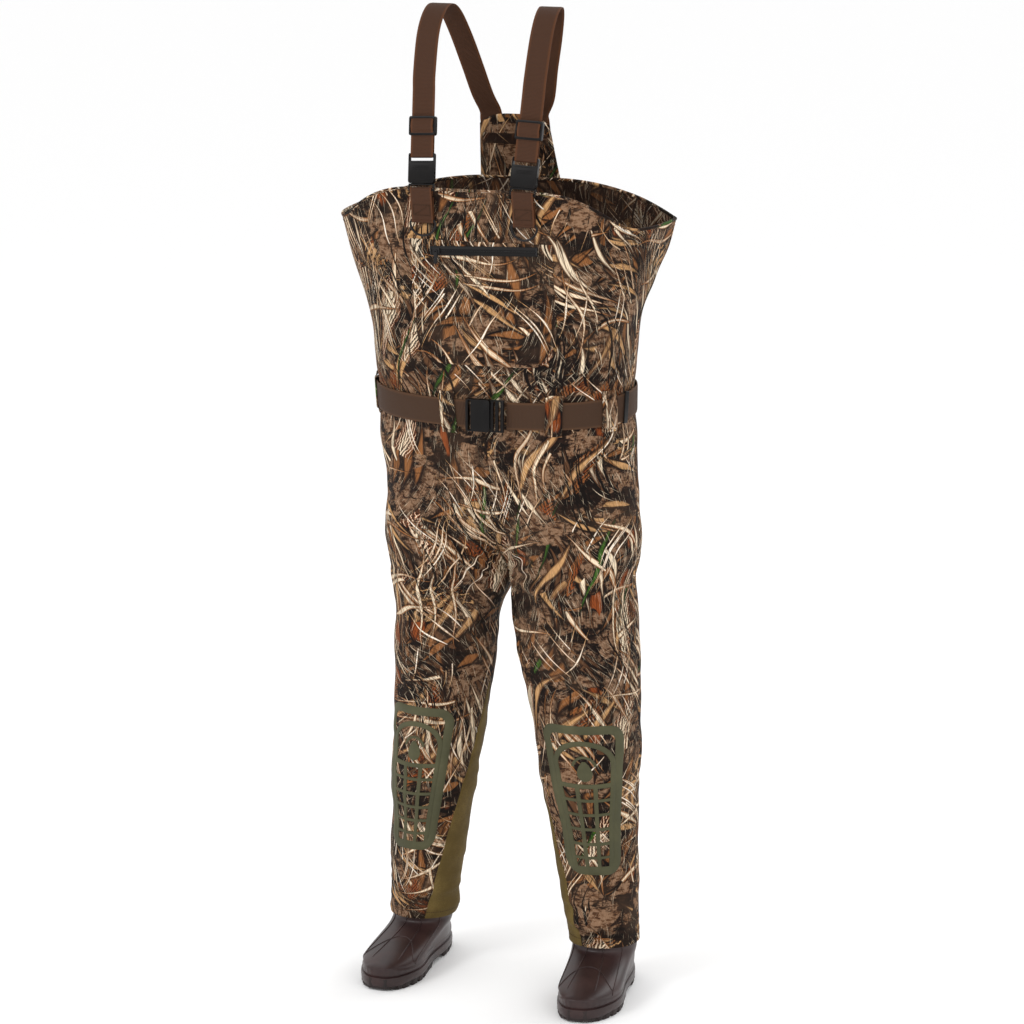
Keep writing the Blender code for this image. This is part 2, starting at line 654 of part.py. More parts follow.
def spring_arms(name, side, look):
    """The pair of springy arms: a foot inside the socket's mouth joins them."""
    frame = buckle_frame(side)
    inside = SOCKET_WIDTH / 2 - SOCKET_WALL - BUCKLE_CLEAR
    thick = ARM_THICK / 2
    reach = 0.0265
    latch = SOCKET_WIDTH / 2 - SOCKET_WALL + LATCH_REACH
    root = inside - ARM_WIDTH
    for sign, end in ((1, "outer"), (-1, "inner")):
        outline = [(root, 0.0004), (inside, 0.0004), (inside, WINDOW_LOW + 0.0006),
                   (latch, WINDOW_LOW + 0.0006), (latch, WINDOW_HIGH - 0.0030),
                   (inside - 0.001, WINDOW_HIGH - 0.0006), (inside - 0.002, reach),
                   (root + 0.001, reach)]
        outline = [(sign * x, z) for x, z in outline]
        prism(f"{name}_{end}", outline, -thick, thick, look, frame)


def strap_loop(name, side, look):
    """The doubled webbing between the socket's bar and the adjuster, as a U round the bar."""
    frame = buckle_frame(side)
    bar_low = SOCKET_LENGTH + SOCKET_SLOT
    inner = LOOP_LAYER_OFFSET - WEB_THICK / 2
    outer = LOOP_LAYER_OFFSET + WEB_THICK / 2
    bend = bar_low - BUCKLE_CLEAR
    outline = [(-outer, LOOP_END_V), (-outer, bend + 0.0006), (-outer * 0.6, bend - WEB_THICK),
               (outer * 0.6, bend - WEB_THICK), (outer, bend + 0.0006), (outer, LOOP_END_V),
               (inner, LOOP_END_V), (inner, bend), (-inner, bend), (-inner, LOOP_END_V)]
    side_prism(name, outline, -WEB_WIDTH / 2, WEB_WIDTH / 2, look, frame)


def strap_adjuster(name, side, look):
    """A slide adjuster: a sleeve round the webbing with two windows and a bar in its front."""
    frame = buckle_frame(side)
    half, thick = ADJUSTER_WIDTH / 2, ADJUSTER_THICK / 2
    low, high = ADJUSTER_LOW, ADJUSTER_LOW + ADJUSTER_LENGTH
    outline = rounded_rectangle(-half, low, half, high, 0.003)
    adjuster = prism(name, outline, -thick, thick, look, frame)
    inside, room = half - ADJUSTER_WALL, thick - ADJUSTER_WALL
    carve(adjuster, box(f"{name}_passage", (-inside, -room, low - 0.01),
                        (inside, room, high + 0.01), matrix=frame))
    bar = 0.0045
    middle = (low + high) / 2
    for part, a, b in (("lower", low + bar, middle - bar / 2), ("upper", middle + bar / 2, high - bar)):
        carve(adjuster, box(f"{name}_{part}_window", (-inside + 0.001, -0.02, a),
                            (inside - 0.001, -room + 0.002, b), matrix=frame))


def strap_middle_line(side):
    """The shoulder strap's middle line, from inside the adjuster to the yoke's back."""
    frame = buckle_frame(side)
    sign = SIDES[side]
    straight = [frame @ Vector((0, 0, STRAP_END_V)), frame @ Vector((0, 0, STRAIGHT_END_V - 0.03)),
                frame @ Vector((0, 0, STRAIGHT_END_V))]
    over = [(sign * x + STRAPS_ASIDE, y + SHIFT_Y, z) for x, y, z in SHOULDER_ROUTE]
    stand = GAP + WEB_THICK / 2
    down = []
    for z in (YOKE_TOP_Z + 0.004, YOKE_TOP_Z - 0.014, YOKE_TOP_Z - STRAP_TAIL):
        extra = 0.0022 if z > YOKE_TOP_Z else 0.0012
        x = YOKE_ASIDE + sign * STRAP_YOKE_X
        down.append((x, yoke_y(x, z) + stand + extra, z))
    return [straight[0]] + curve_through(straight[1:] + over + down, 3)


def shoulder_strap(name, side, look):
    line = strap_middle_line(side)
    across = [(1.0, 0.0, 0.0)] * len(line)
    ribbon(name, line, across, WEB_WIDTH, WEB_THICK, look)


# ---- Chest tabs and D-rings -------------------------------------------------------------------
def ring_axis(side):
    """A point on the D-ring's hinge line."""
    return Vector((SIDES[side] * BUCKLE_X, front_y(BUCKLE_X, RING_Z) - RING_STAND, RING_Z))


def chest_tab(name, side, look):
    """Webbing sewn to the chest, folded round the D-ring's bar below and the clip's bar above."""
    sign = SIDES[side]
    ring = ring_axis(side)
    frame = buckle_frame(side)
    bar_v = -GAP - CLIP_BASE + CLIP_BAR / 2
    bar = frame @ Vector((0, 0, bar_v))
    thick = RING_BORE + WEB_THICK
    outline = []
    for k in range(9):
        angle = math.radians(180 + 180 * k / 8)
        outline.append((ring.y + thick * math.cos(angle), ring.z + thick * math.sin(angle)))
    behind = front_y(BUCKLE_X, FRONT_RIM_Z) - GAP
    outline.append((front_y(BUCKLE_X, RING_Z + 0.012) - GAP - 0.0006, RING_Z + 0.012))
    outline.append((behind - 0.0008, FRONT_RIM_Z - 0.012))
    reach = CLIP_BAR / 2 + BUCKLE_CLEAR + 0.0008 + WEB_THICK
    for k in range(7):
        angle = math.radians(-20 + 200 * k / 6)
        outline.append((bar.y + reach * math.cos(angle), bar.z + reach * math.sin(angle)))
    outline.append((ring.y - thick, RING_Z + 0.006))
    half = TAB_WIDTH / 2
    tab = side_prism(name, outline, sign * BUCKLE_X - half, sign * BUCKLE_X + half, look)
    across = frame.col[0]
    for vertex in tab.data.vertices:
        aside = vertex.co.x - sign * BUCKLE_X
        up = min(1.0, max(0.0, (vertex.co.z - RING_Z) / (bar.z - RING_Z)))
        vertex.co.y += aside * up * across.y / across.x
        vertex.co.z += aside * up * across.z / across.x
    carve(tab, side_prism(f"{name}_ring_bore", circle(0, 0, RING_BORE), -0.04, 0.04, None,
                          Matrix.Translation(ring)))
    bar_bore = circle(0, bar_v, CLIP_BAR / 2 + BUCKLE_CLEAR + 0.0008)
    carve(tab, side_prism(f"{name}_bar_bore", bar_bore, -0.04, 0.04, None, frame))


def d_ring(name, side, look):
    """A wire ring with its straight bar on top and a round bow below."""
    centre = ring_axis(side)
    inset = 0.0030
    points = [(-RING_HALF + inset, 0, 0), (0, 0, 0), (RING_HALF - inset, 0, 0)]
    bow = RING_DROP - 0.004
    for k in range(13):
        angle = math.pi * k / 12
        points.append((RING_HALF * math.cos(angle), 0, -0.004 - bow * math.sin(angle)))
    data = bpy.data.curves.new(name, "CURVE")
    data.dimensions = "3D"
    data.bevel_depth = RING_WIRE
    data.bevel_resolution = 2
    spline = data.splines.new("POLY")
    spline.points.add(len(points) - 1)
    for point, at in zip(spline.points, points):
        point.co = (*at, 1.0)
    spline.use_cyclic_u = True
    data.materials.append(material(name, *look))
    obj = bpy.data.objects.new(name, data)
    obj.location = centre
    bpy.context.scene.collection.objects.link(obj)


def make_straps():
    webbing, plastic, wire = (WEBBING, 0.8), (BLACK, 0.35), (GUNMETAL, 0.3, 1.0)
    for side in SIDES:
        chest_tab(f"{side}_chest_tab", side, webbing)
        d_ring(f"{side}_d_ring", side, wire)
        buckle_clip(f"{side}_buckle_clip", side, plastic)
        spring_arms(f"{side}_clip_arm", side, plastic)
        buckle_socket(f"{side}_buckle_socket", side, plastic)
        strap_loop(f"{side}_strap_loop", side, webbing)
        strap_adjuster(f"{side}_strap_adjuster", side, plastic)
        shoulder_strap(f"{side}_shoulder_strap", side, webbing)


# ---- Chest pocket ------------------------------------------------------------------------------
def pocket_bottom(x):
    """The pocket's lower edge, which curves up at each end."""
    middle = (POCKET_LEFT_X + POCKET_RIGHT_X) / 2
    half = (POCKET_LEFT_X - POCKET_RIGHT_X) / 2
    over = max(0.0, abs(x - middle) - (half - POCKET_CORNER)) / POCKET_CORNER
    return POCKET_BOTTOM_Z + POCKET_CORNER * (1 - math.sqrt(max(0.0, 1 - over**2)))


def make_pocket():
    stand = 0.0012
    outer, inner = [], []
    for k in range(8):
        outer.append([])
        inner.append([])
        for x in np.linspace(POCKET_RIGHT_X, POCKET_LEFT_X, 13):
            low = pocket_bottom(x)
            z = low + (POCKET_TOP_Z - low) * k / 7
            y = front_y(x, z) - stand
            outer[-1].append((x, y - POCKET_THICK, z))
            inner[-1].append((x, y, z))
    shell_from_grids("chest_pocket", np.array(outer), np.array(inner), (CAMO, 0.85))
    frame = zip_frame()
    length = ZIP_END_X - ZIP_START_X
    zip_look = (BLACK, 0.45)
    half = ZIP_HEIGHT / 2
    outline = rectangle(0.0, -half, length, half)
    prism("pocket_zip_tape", outline, -ZIP_THICK, 0.0, zip_look, frame)
    half = TEETH_HEIGHT / 2
    low = -ZIP_THICK - GAP - TEETH_THICK
    box("pocket_zip_teeth", (0.004, low, -half), (length - 0.004, low + TEETH_THICK, half),
        zip_look, frame)
    zip_slider(frame, low)


def zip_frame():
    """Local X along the zip from its closed end, Y into the chest, Z across it."""
    low = min(front_y(x, ZIP_Z) for x in (0.0, ZIP_END_X, ZIP_START_X))
    y = low - 0.0012 - POCKET_THICK - 0.0016
    turn = Matrix.Rotation(-math.radians(ZIP_TILT_DEG), 4, "Y")
    return Matrix.Translation((ZIP_START_X, y, ZIP_Z)) @ turn


def zip_slider(frame, low):
    """The slider's body, a channel over the teeth, and its hanging pull tab."""
    metal = (BLACK, 0.3, 0.6)
    half = SLIDER_HEIGHT / 2
    back = -ZIP_THICK - GAP
    roof = low - SLIDER_CLEAR
    front = roof - SLIDER_WALL
    room = TEETH_HEIGHT / 2 + SLIDER_CLEAR
    outline = [(back, -half), (back, -room), (roof, -room), (roof, room),
               (back, room), (back, half), (front, half), (front, -half)]
    side_prism("pocket_zip_slider_body", outline, SLIDER_START, SLIDER_START + SLIDER_LENGTH,
               metal, frame)
    pin = Vector((SLIDER_START + SLIDER_LENGTH / 2, front - PULL_STAND, 0.0))
    pull_frame = frame @ Matrix.Translation(pin)
    outline = rounded_rectangle(-PULL_WIDTH / 2, -PULL_LENGTH, PULL_WIDTH / 2, 0.0024, 0.002)
    pull = prism("pocket_zip_pull", outline, -PULL_THICK / 2, PULL_THICK / 2, metal, pull_frame)
    carve(pull, box("pull_eye", (-0.0016, -0.01, -0.0012), (0.0016, 0.01, 0.0012), matrix=pull_frame))


# ---- Belt --------------------------------------------------------------------------------------
def belt_z(share):
    return BELT_FRONT_Z + (BELT_BACK_Z - BELT_FRONT_Z) * (1 - math.cos(math.pi * share)) / 2


def share_at_x(x, z):
    """The front share at which the torso's half width reaches x."""
    square = through(FRONT_SQUARES, z)
    return math.asin((abs(x) / through(TORSO_WIDTHS, z)) ** (square / 2)) / math.pi


def belt_webbing(look):
    """One strip from the clip's ladder round the back to the socket's bar."""
    ladder = BELT_SOCKET_X + BELT_SOCKET_LENGTH + BELT_LADDER + 0.002
    first = share_at_x(ladder, BELT_FRONT_Z)
    last = share_at_x(BELT_SOCKET_X - 0.002, BELT_FRONT_Z)
    places = [("left", s) for s in np.linspace(first, 1.0, 21)]
    places += [("right", s) for s in np.linspace(1.0, last, 21)[1:]]
    rows = []
    for height in (-BELT_HEIGHT / 2, BELT_HEIGHT / 2):
        rows.append([(side, share, belt_z(share) + height) for side, share in places])
    skin_patch("belt_webbing", rows, BELT_STAND, BELT_STAND + BELT_THICK, look)


def belt_loop(name, side, middle, look):
    """A fabric loop sewn above and below the belt, bridging over it."""
    half = BELT_LOOP_HEIGHT / 2
    foot = BELT_HEIGHT / 2 + 0.0055
    over = BELT_STAND + BELT_THICK + 0.0012
    sewn = BELT_LOOP_STAND
    profile = ((-half, sewn), (-foot, sewn), (-foot + 0.0035, over), (foot - 0.0035, over),
               (foot, sewn), (half, sewn))
    girth = np.linalg.norm(shell_point(side, middle + 0.01, WAIST_Z)
                           - shell_point(side, middle - 0.01, WAIST_Z)) / 0.02
    reach = BELT_LOOP_WIDTH / 2 / girth
    outer, inner = [], []
    for height, stand in profile:
        row = [(side, s, belt_z(middle) + height) for s in (middle - reach, middle, middle + reach)]
        inner.append([skin(*place, stand) for place in row])
        outer.append([skin(*place, stand + BELT_LOOP_THICK) for place in row])
    shell_from_grids(name, np.array(outer), np.array(inner), look)


def belt_frame():
    """Local X across to the wearer's left, Y into the waist, Z up, from the socket's far end."""
    half = BELT_BUCKLE_HEIGHT / 2
    nearest = min(front_y(0.0, BELT_FRONT_Z + z) for z in (-half, 0.0, half))
    y = nearest - BELT_BUCKLE_STAND - BELT_BUCKLE_THICK / 2
    return Matrix.Translation((BELT_SOCKET_X, y, BELT_FRONT_Z))


def belt_buckle(look):
    frame = belt_frame()
    half, thick = BELT_BUCKLE_HEIGHT / 2, BELT_BUCKLE_THICK / 2
    length = BELT_SOCKET_LENGTH
    bar = 0.009
    socket = prism("belt_buckle_socket", rounded_rectangle(0.0, -half, length, half, 0.004),
                   -thick, thick, look, frame)
    inside, room = half - 0.002, thick - 0.0018
    carve(socket, box("belt_room", (bar + 0.002, -room, -inside), (length + 0.01, room, inside),
                      matrix=frame))
    carve(socket, box("belt_windows", (length - 0.019, -room + 0.0004, -half - 0.01),
                      (length - 0.008, room - 0.0004, half + 0.01), matrix=frame))
    carve(socket, box("belt_bar_slot", (0.004, -0.02, -inside), (0.0085, 0.02, inside),
                      matrix=frame))
    belt_clip(frame, length, inside, look)


def belt_clip(frame, length, inside, look):
    """The clip's ladder outside the socket, its tongue, and its two springy arms inside."""
    half = BELT_BUCKLE_HEIGHT / 2
    thick = 0.0052 / 2
    low, high = length + GAP, length + BELT_LADDER
    tongue = 0.009
    tip = length - 0.024
    outline = [(low, -half), (high, -half), (high, half), (low, half), (low, tongue),
               (tip, tongue * 0.8), (tip, -tongue * 0.8), (low, -tongue)]
    clip = prism("belt_buckle_clip", outline, -thick, thick, look, frame)
    bar = 0.005
    slot = (high - low - 3 * bar) / 2
    for part, start in (("near", low + bar), ("far", low + 2 * bar + slot)):
        carve(clip, box(f"ladder_{part}_slot", (start, -0.02, -inside), (start + slot, 0.02, inside),
                        matrix=frame))
    reach = inside - 0.0006
    latch = half - 0.0006
    root = reach - 0.0065
    for sign, end in ((1, "upper"), (-1, "lower")):
        outline = [(length - 0.0005, root), (length - 0.0005, reach), (length - 0.0086, reach),
                   (length - 0.0086, latch), (length - 0.015, latch), (length - 0.0184, reach - 0.001),
                   (length - 0.026, reach - 0.002), (length - 0.026, root + 0.001)]
        outline = [(x, sign * z) for x, z in outline]
        prism(f"belt_clip_arm_{end}", outline, -thick, thick, look, frame)


def belt_keeper(look):
    """A slide bar on the belt that holds its free end."""
    side = "left"
    z = belt_z(KEEPER_SHARE)
    middle = Vector(skin(side, KEEPER_SHARE, z, BELT_STAND + BELT_THICK / 2))
    normal = Vector(shell_normal(side, KEEPER_SHARE, z))
    along = Vector((0, 0, 1)).cross(normal).normalized()
    frame = Matrix((along, -normal, normal.cross(along))).transposed().to_4x4()
    frame.translation = middle
    half, reach = KEEPER_LENGTH / 2, BELT_HEIGHT / 2 + 0.0035
    back = BELT_THICK / 2
    outline = rounded_rectangle(-half, -reach, half, reach, 0.002)
    keeper = prism("belt_keeper", outline, -BELT_THICK / 2 - 0.0030, back, look, frame)
    carve(keeper, box("keeper_passage", (-0.02, -BELT_THICK / 2 - 0.0012, -reach + 0.002),
                      (0.02, 0.02, reach - 0.002), matrix=frame))


def make_belt():
    plastic = (BLACK, 0.35)
    belt_webbing((WEBBING, 0.8))
    for name, sign, share in BELT_LOOPS:
        side = "left" if sign > 0 else "right"
        belt_loop(f"belt_loop_{name}", side, share, (CAMO, 0.85))
    belt_buckle(plastic)
    belt_keeper(plastic)


# ---- Boots -------------------------------------------------------------------------------------
def boot_frame(side):
    """Local X outwards, Y from the ankle to the toe, Z up."""
    sign = SIDES[side]
    x, y = ANKLES[side]
    turn = math.radians(TOE_OUT_DEG[side])
    outward = Vector((sign * math.cos(turn), math.sin(turn), 0))
    forward = Vector((sign * math.sin(turn), -math.cos(turn), 0))
    frame = Matrix((outward, forward, Vector((0, 0, 1)))).transposed().to_4x4()
    frame.translation = (sign * (x + FOOT_ASIDE), y - FOOT_AHEAD + SHIFT_Y, 0)
    return frame


COLLAR_Z = HEM_Z - COLLAR_DROP
FOOT_HALVES = ((-HEEL_REACH, HEEL_HALF), (-0.4 * HEEL_REACH, HEEL_HALF + 0.001),
               (0.25 * TOE_REACH, ARCH_HALF), (0.62 * TOE_REACH, BALL_HALF),
               (TOE_REACH, 0.92 * BALL_HALF))


def foot_outline(share, grow=0.0):
    """The foot's plan: share 0 is the inner side, a quarter the toe, three quarters the heel."""
    turn = 2 * math.pi * share - math.pi / 2
    middle, half = (TOE_REACH - HEEL_REACH) / 2, (TOE_REACH + HEEL_REACH) / 2
    forward = middle + half * signed_power(math.cos(turn), FOOT_END_POWER)
    width = through(FOOT_HALVES, forward) * signed_power(math.sin(turn), 0.72)
    curve = -0.007 * max(0.0, forward / TOE_REACH) ** 2
    size = math.hypot(math.cos(turn) * half, math.sin(turn) * BALL_HALF)
    x = width + curve + grow * signed_power(math.sin(turn), 0.8)
    y = forward + grow * math.cos(turn) * half / size
    return np.array([x, y])


def upper_reach(share, z):
    """How far the upper still follows the foot's plan at a height: 1 at the sole, 0 at the ankle."""
    ahead = (1 + math.sin(2 * math.pi * share)) / 2
    rise = (z - SOLE_THICK) / (COLLAR_Z - SOLE_THICK)
    vamp = 1 - float(smooth_step((rise - 0.30) / 0.70)) ** 0.80
    heel = 1 - 0.85 * float(smooth_step(rise))
    return ahead * vamp + (1 - ahead) * heel * (1 - float(smooth_step((rise - 0.6) / 0.4)))


def upper_point(side, share, z, inward):
    """A point on the boot upper, inward from its outside."""
    ankle = skin(side, share, max(z, COLLAR_Z), -WALL - SHAFT_CLEAR - inward)
    if z >= COLLAR_Z:
        return ankle
    reach = upper_reach(share, z)
    swell = 0.004 * math.sin(math.pi * min(1.0, (z - SOLE_THICK) / 0.05))
    foot = foot_outline(share, swell - inward)
    foot = boot_frame(side) @ Vector((foot[0], foot[1], z))
    point = (1 - reach) * ankle + reach * np.array(foot)
    point[2] = z
    return point


def upper_rows():
    low = SOLE_THICK + GAP
    foot = [low + (COLLAR_Z - low) * k / UPPER_ROWS for k in range(UPPER_ROWS + 1)]
    return foot + [HEM_Z + 0.02, (HEM_Z + SHAFT_TOP_Z) / 2, SHAFT_TOP_Z]


def boot_upper(name, side, look):
    shares = [k / UPPER_COLUMNS for k in range(UPPER_COLUMNS)]
    outer = np.array([[upper_point(side, s, z, 0.0) for s in shares] for z in upper_rows()])
    inner = np.array([[upper_point(side, s, z, UPPER_WALL) for s in shares] for z in upper_rows()])
    tube_from_grids(name, outer, inner, look)


def upper_patch(name, side, middle, reach, rows, thick, look):
    """A raised rubber patch outside the upper, on the upper's own rows and columns."""
    shares = [(middle + k) / UPPER_COLUMNS for k in range(-reach, reach + 1)]
    heights = upper_rows()[:rows]
    low, high = PATCH_STAND, PATCH_STAND + thick
    outer = np.array([[upper_point(side, s, z, -high) for s in shares] for z in heights])
    inner = np.array([[upper_point(side, s, z, -low) for s in shares] for z in heights])
    shell_from_grids(name, outer, inner, look)


def outsole(name, side, look):
    """A lugged sole: each station is a slice across it, and the lugs step down to the ground."""
    heel = [(-1.0, 0.0), (-0.86, 0.0)]
    for start in (-0.80, -0.52):
        heel += [(start - 0.02, LUG_DEPTH), (start, 0.0), (start + 0.20, 0.0),
                 (start + 0.22, LUG_DEPTH)]
    stations = [(share * HEEL_REACH, low) for share, low in heel]
    stations += [(-0.02, LUG_DEPTH), (-0.016, ARCH_RISE), (0.032, ARCH_RISE), (0.036, LUG_DEPTH)]
    start = 0.040
    lug, valley = 0.0135, 0.0075
    while start + lug < TOE_REACH - 0.012:
        stations += [(start, 0.0), (start + lug, 0.0), (start + lug + 0.001, LUG_DEPTH),
                     (start + lug + valley - 0.001, LUG_DEPTH)]
        start += lug + valley
    stations += [(start, 0.0), (TOE_REACH, TOE_SPRING)]
    points = []
    half_length = (TOE_REACH + HEEL_REACH) / 2
    middle = (TOE_REACH - HEEL_REACH) / 2
    for forward, low in stations:
        along = max(-BLUNT, min(BLUNT, (forward - middle) / half_length))
        turn = math.acos(signed_power(along, 1 / FOOT_END_POWER))
        outer = foot_outline((math.pi / 2 + turn) / (2 * math.pi), SOLE_EDGE)[0]
        inner = foot_outline((math.pi / 2 - turn) / (2 * math.pi), SOLE_EDGE)[0]
        y = forward * (1 + SOLE_EDGE / half_length)
        points += [(inner, y, low), (outer, y, low), (outer, y, SOLE_THICK), (inner, y, SOLE_THICK)]
    rows = len(stations)
    faces = grid_faces(rows, 4, wrap=True)
    faces += [(0, 1, 2, 3), tuple(range(4 * rows - 1, 4 * rows - 5, -1))]
    add_object(name, points, faces, look, boot_frame(side))


def insole(name, side, look):
    low = SOLE_THICK + GAP
    count = UPPER_COLUMNS
    shares = [k / count for k in range(count)]
    frame = boot_frame(side)
    outline = [frame @ Vector((*foot_outline(s, -UPPER_WALL - INSOLE_CLEAR), 0.0)) for s in shares]
    points = [(p.x, p.y, low) for p in outline] + [(p.x, p.y, low + INSOLE_THICK) for p in outline]
    faces = [tuple(range(count)), tuple(range(2 * count - 1, count - 1, -1))]
    faces += [(i, (i + 1) % count, (i + 1) % count + count, i + count) for i in range(count)]
    add_object(name, points, faces, look)


def make_boots():
    for side in SIDES:
        outsole(f"{side}_boot_outsole", side, (SOLE, 0.75))
        insole(f"{side}_boot_insole", side, (FELT, 0.9))
        boot_upper(f"{side}_boot_upper", side, (BOOT, 0.5))
        toe, heel = UPPER_COLUMNS // 4, 3 * UPPER_COLUMNS // 4
        upper_patch(f"{side}_toe_bumper", side, toe, BUMPER_REACH, BUMPER_ROWS, BUMPER_THICK,
                    (BOOT, 0.45))
        upper_patch(f"{side}_heel_counter", side, heel, COUNTER_REACH, COUNTER_ROWS, COUNTER_THICK,
                    (BOOT, 0.45))


clear_scene()
make_shell()
make_yoke()
make_straps()
make_pocket()
make_belt()
make_boots()
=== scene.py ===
"""The looks of a pair of chest waders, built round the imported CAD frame.

Metres, +Z up. The wearer faces -Y and +X is the wearer's left, so sign +1 is the left side.
A place on the shell is (sign, share, z): share runs round half of the girth. On a leg it goes
from the inner seam over the front and the outer side to the back; on the torso from the front
centre to the back centre. The shell's sizes repeat those of the CAD source.
"""

import math

import bmesh
import bpy
import numpy as np
from mathutils import Matrix, Vector, noise


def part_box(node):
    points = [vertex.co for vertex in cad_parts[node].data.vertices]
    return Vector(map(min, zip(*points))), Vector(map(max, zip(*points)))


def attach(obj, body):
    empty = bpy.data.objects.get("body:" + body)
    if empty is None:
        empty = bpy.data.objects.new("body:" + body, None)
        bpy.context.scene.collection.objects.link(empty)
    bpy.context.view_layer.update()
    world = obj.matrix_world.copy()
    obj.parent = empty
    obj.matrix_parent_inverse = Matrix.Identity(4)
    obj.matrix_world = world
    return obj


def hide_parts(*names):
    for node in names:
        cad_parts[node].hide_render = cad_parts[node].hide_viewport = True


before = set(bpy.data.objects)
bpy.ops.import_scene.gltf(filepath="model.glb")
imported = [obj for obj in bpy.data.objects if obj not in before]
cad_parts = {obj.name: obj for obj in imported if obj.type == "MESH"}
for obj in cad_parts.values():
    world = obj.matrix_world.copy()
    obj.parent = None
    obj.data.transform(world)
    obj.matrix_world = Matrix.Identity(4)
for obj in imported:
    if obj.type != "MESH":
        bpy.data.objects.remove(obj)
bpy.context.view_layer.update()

# ---- Sizes shared with the CAD ------------------------------------------------------------------
WALL = 0.0040
SHIFT_Y = -0.010
HEM_Z, CALF_Z, KNEE_Z, THIGH_Z = 0.086, 0.250, 0.400, 0.600
CROTCH_Z, SPLIT_Z, HIP_Z, WAIST_Z = 0.727, 0.790, 0.830, 1.020
RIB_Z, CHEST_Z, SIDE_RIM_Z, BACK_RIM_Z, FRONT_RIM_Z = 1.150, 1.283, 1.329, 1.378, 1.391
CROTCH_BLEND = 0.130
HIP_X, HIP_Y = 0.1045, 0.034
ANKLE_Z = 0.100
ROUND = 2.2
THIGH_GROWTH = 0.25
FULLNESS_FADE = 0.10
LEFT_LEG, RIGHT_LEG = (0.154, 0.060, 1.06, 1.09), (0.188, 0.110, 1.00, 0.93)  # ankle x, y, calf, thigh
TOE_OUT, FOOT_ASIDE, FOOT_AHEAD = math.radians(4.0), 0.008, 0.008
LEG_WIDTHS = ((HEM_Z, 0.0575), (CALF_Z, 0.0680), (KNEE_Z, 0.0800), (THIGH_Z, 0.0945),
              (CROTCH_Z, 0.1042))
TORSO_WIDTHS = ((CROTCH_Z, 0.2087), (HIP_Z, 0.2155), (WAIST_Z, 0.2165), (RIB_Z, 0.2235),
                (CHEST_Z, 0.2630), (FRONT_RIM_Z, 0.2910))
TORSO_MIDDLES = ((CROTCH_Z, 0.034), (HIP_Z, 0.042), (WAIST_Z, 0.006), (RIB_Z, 0.010),
                 (CHEST_Z, 0.040), (FRONT_RIM_Z, 0.045))
TORSO_FRONTS = ((CROTCH_Z, 0.1042), (HIP_Z, 0.130), (WAIST_Z, 0.124), (RIB_Z, 0.143),
                (CHEST_Z, 0.199), (FRONT_RIM_Z, 0.212))
TORSO_BACKS = ((CROTCH_Z, 0.1042), (HIP_Z, 0.104), (WAIST_Z, 0.112), (RIB_Z, 0.104),
               (CHEST_Z, 0.069), (FRONT_RIM_Z, 0.051))
FRONT_SQUARES = ((CROTCH_Z, ROUND), (WAIST_Z, 2.5), (CHEST_Z, 3.2), (FRONT_RIM_Z, 3.2))
GUSSET_TOP_Z, GUSSET_HEM_SHARE, GUSSET_TIP_SHARE = 0.520, 0.19, 0.008
GRIP_TOP_Z, GRIP_BOTTOM_Z, GRIP_MIDDLE = 0.486, 0.219, 0.285
YOKE_BASE_HALF, YOKE_TOP_HALF, YOKE_TOP_Z, YOKE_LEAN = 0.070, 0.060, 1.487, 0.34
YOKE_ASIDE, YOKE_CORNER = -0.008, 0.018
WEB_WIDTH, WEB_THICK = 0.038, 0.0018
BUCKLE_X, BUCKLE_Z, BUCKLE_STAND = 0.0855, 1.400, 0.0085
STRAP_RISE = (0.045, 0.214, 0.976)
STRAP_END_V, STRAIGHT_END_V = 0.0900, 0.1780
SHOULDER_ROUTE = (
    (0.0955, -0.0985, 1.630),
    (0.0950, -0.0700, 1.663),
    (0.0930, -0.0380, 1.674),
    (0.0875, -0.0120, 1.660),
    (0.0770, 0.0110, 1.620),
    (0.0640, 0.0300, 1.568),
    (0.0530, 0.0480, 1.520),
)
STRAPS_ASIDE, STRAP_TAIL, STRAP_YOKE_X = -0.005, 0.040, 0.041
RING_Z, RING_STAND, RING_HALF, RING_DROP, RING_WIRE = 1.3395, 0.0062, 0.0215, 0.0245, 0.0014
POCKET_LEFT_X, POCKET_RIGHT_X, POCKET_TOP_Z, POCKET_BOTTOM_Z = 0.128, -0.112, 1.308, 1.100
POCKET_CORNER = 0.050
ZIP_START_X, ZIP_END_X, ZIP_Z, ZIP_TILT = -0.075, 0.107, 1.2905, math.radians(2.0)
BELT_FRONT_Z, BELT_BACK_Z, BELT_HEIGHT, BELT_STAND, BELT_THICK = 1.018, 1.044, 0.046, 0.0012, 0.0022
BELT_SOCKET_X, BELT_SOCKET_LENGTH, BELT_LADDER = -0.0265, 0.0410, 0.0230
BELT_LOOPS = (("front_right", -1, 0.067), ("side_right", -1, 0.425), ("back_right", -1, 0.800),
              ("front_left", 1, 0.152), ("side_left", 1, 0.344), ("back_left", 1, 0.800))
BELT_LOOP_WIDTH, BELT_LOOP_HEIGHT = 0.028, 0.070
TOE_REACH, HEEL_REACH = 0.185, 0.100
BALL_HALF, ARCH_HALF, HEEL_HALF = 0.0530, 0.0400, 0.0385
FOOT_END_POWER = 0.9
FOOT_HALVES = ((-HEEL_REACH, HEEL_HALF), (-0.4 * HEEL_REACH, HEEL_HALF + 0.001),
               (0.25 * TOE_REACH, ARCH_HALF), (0.62 * TOE_REACH, BALL_HALF),
               (TOE_REACH, 0.92 * BALL_HALF))
SOLE_THICK, SOLE_EDGE = 0.0215, 0.0035
SHAFT_TOP_Z, SHAFT_CLEAR, UPPER_WALL = 0.175, 0.0020, 0.0035
COLLAR_Z = HEM_Z - 0.006
NAMES = {1: "left", -1: "right"}


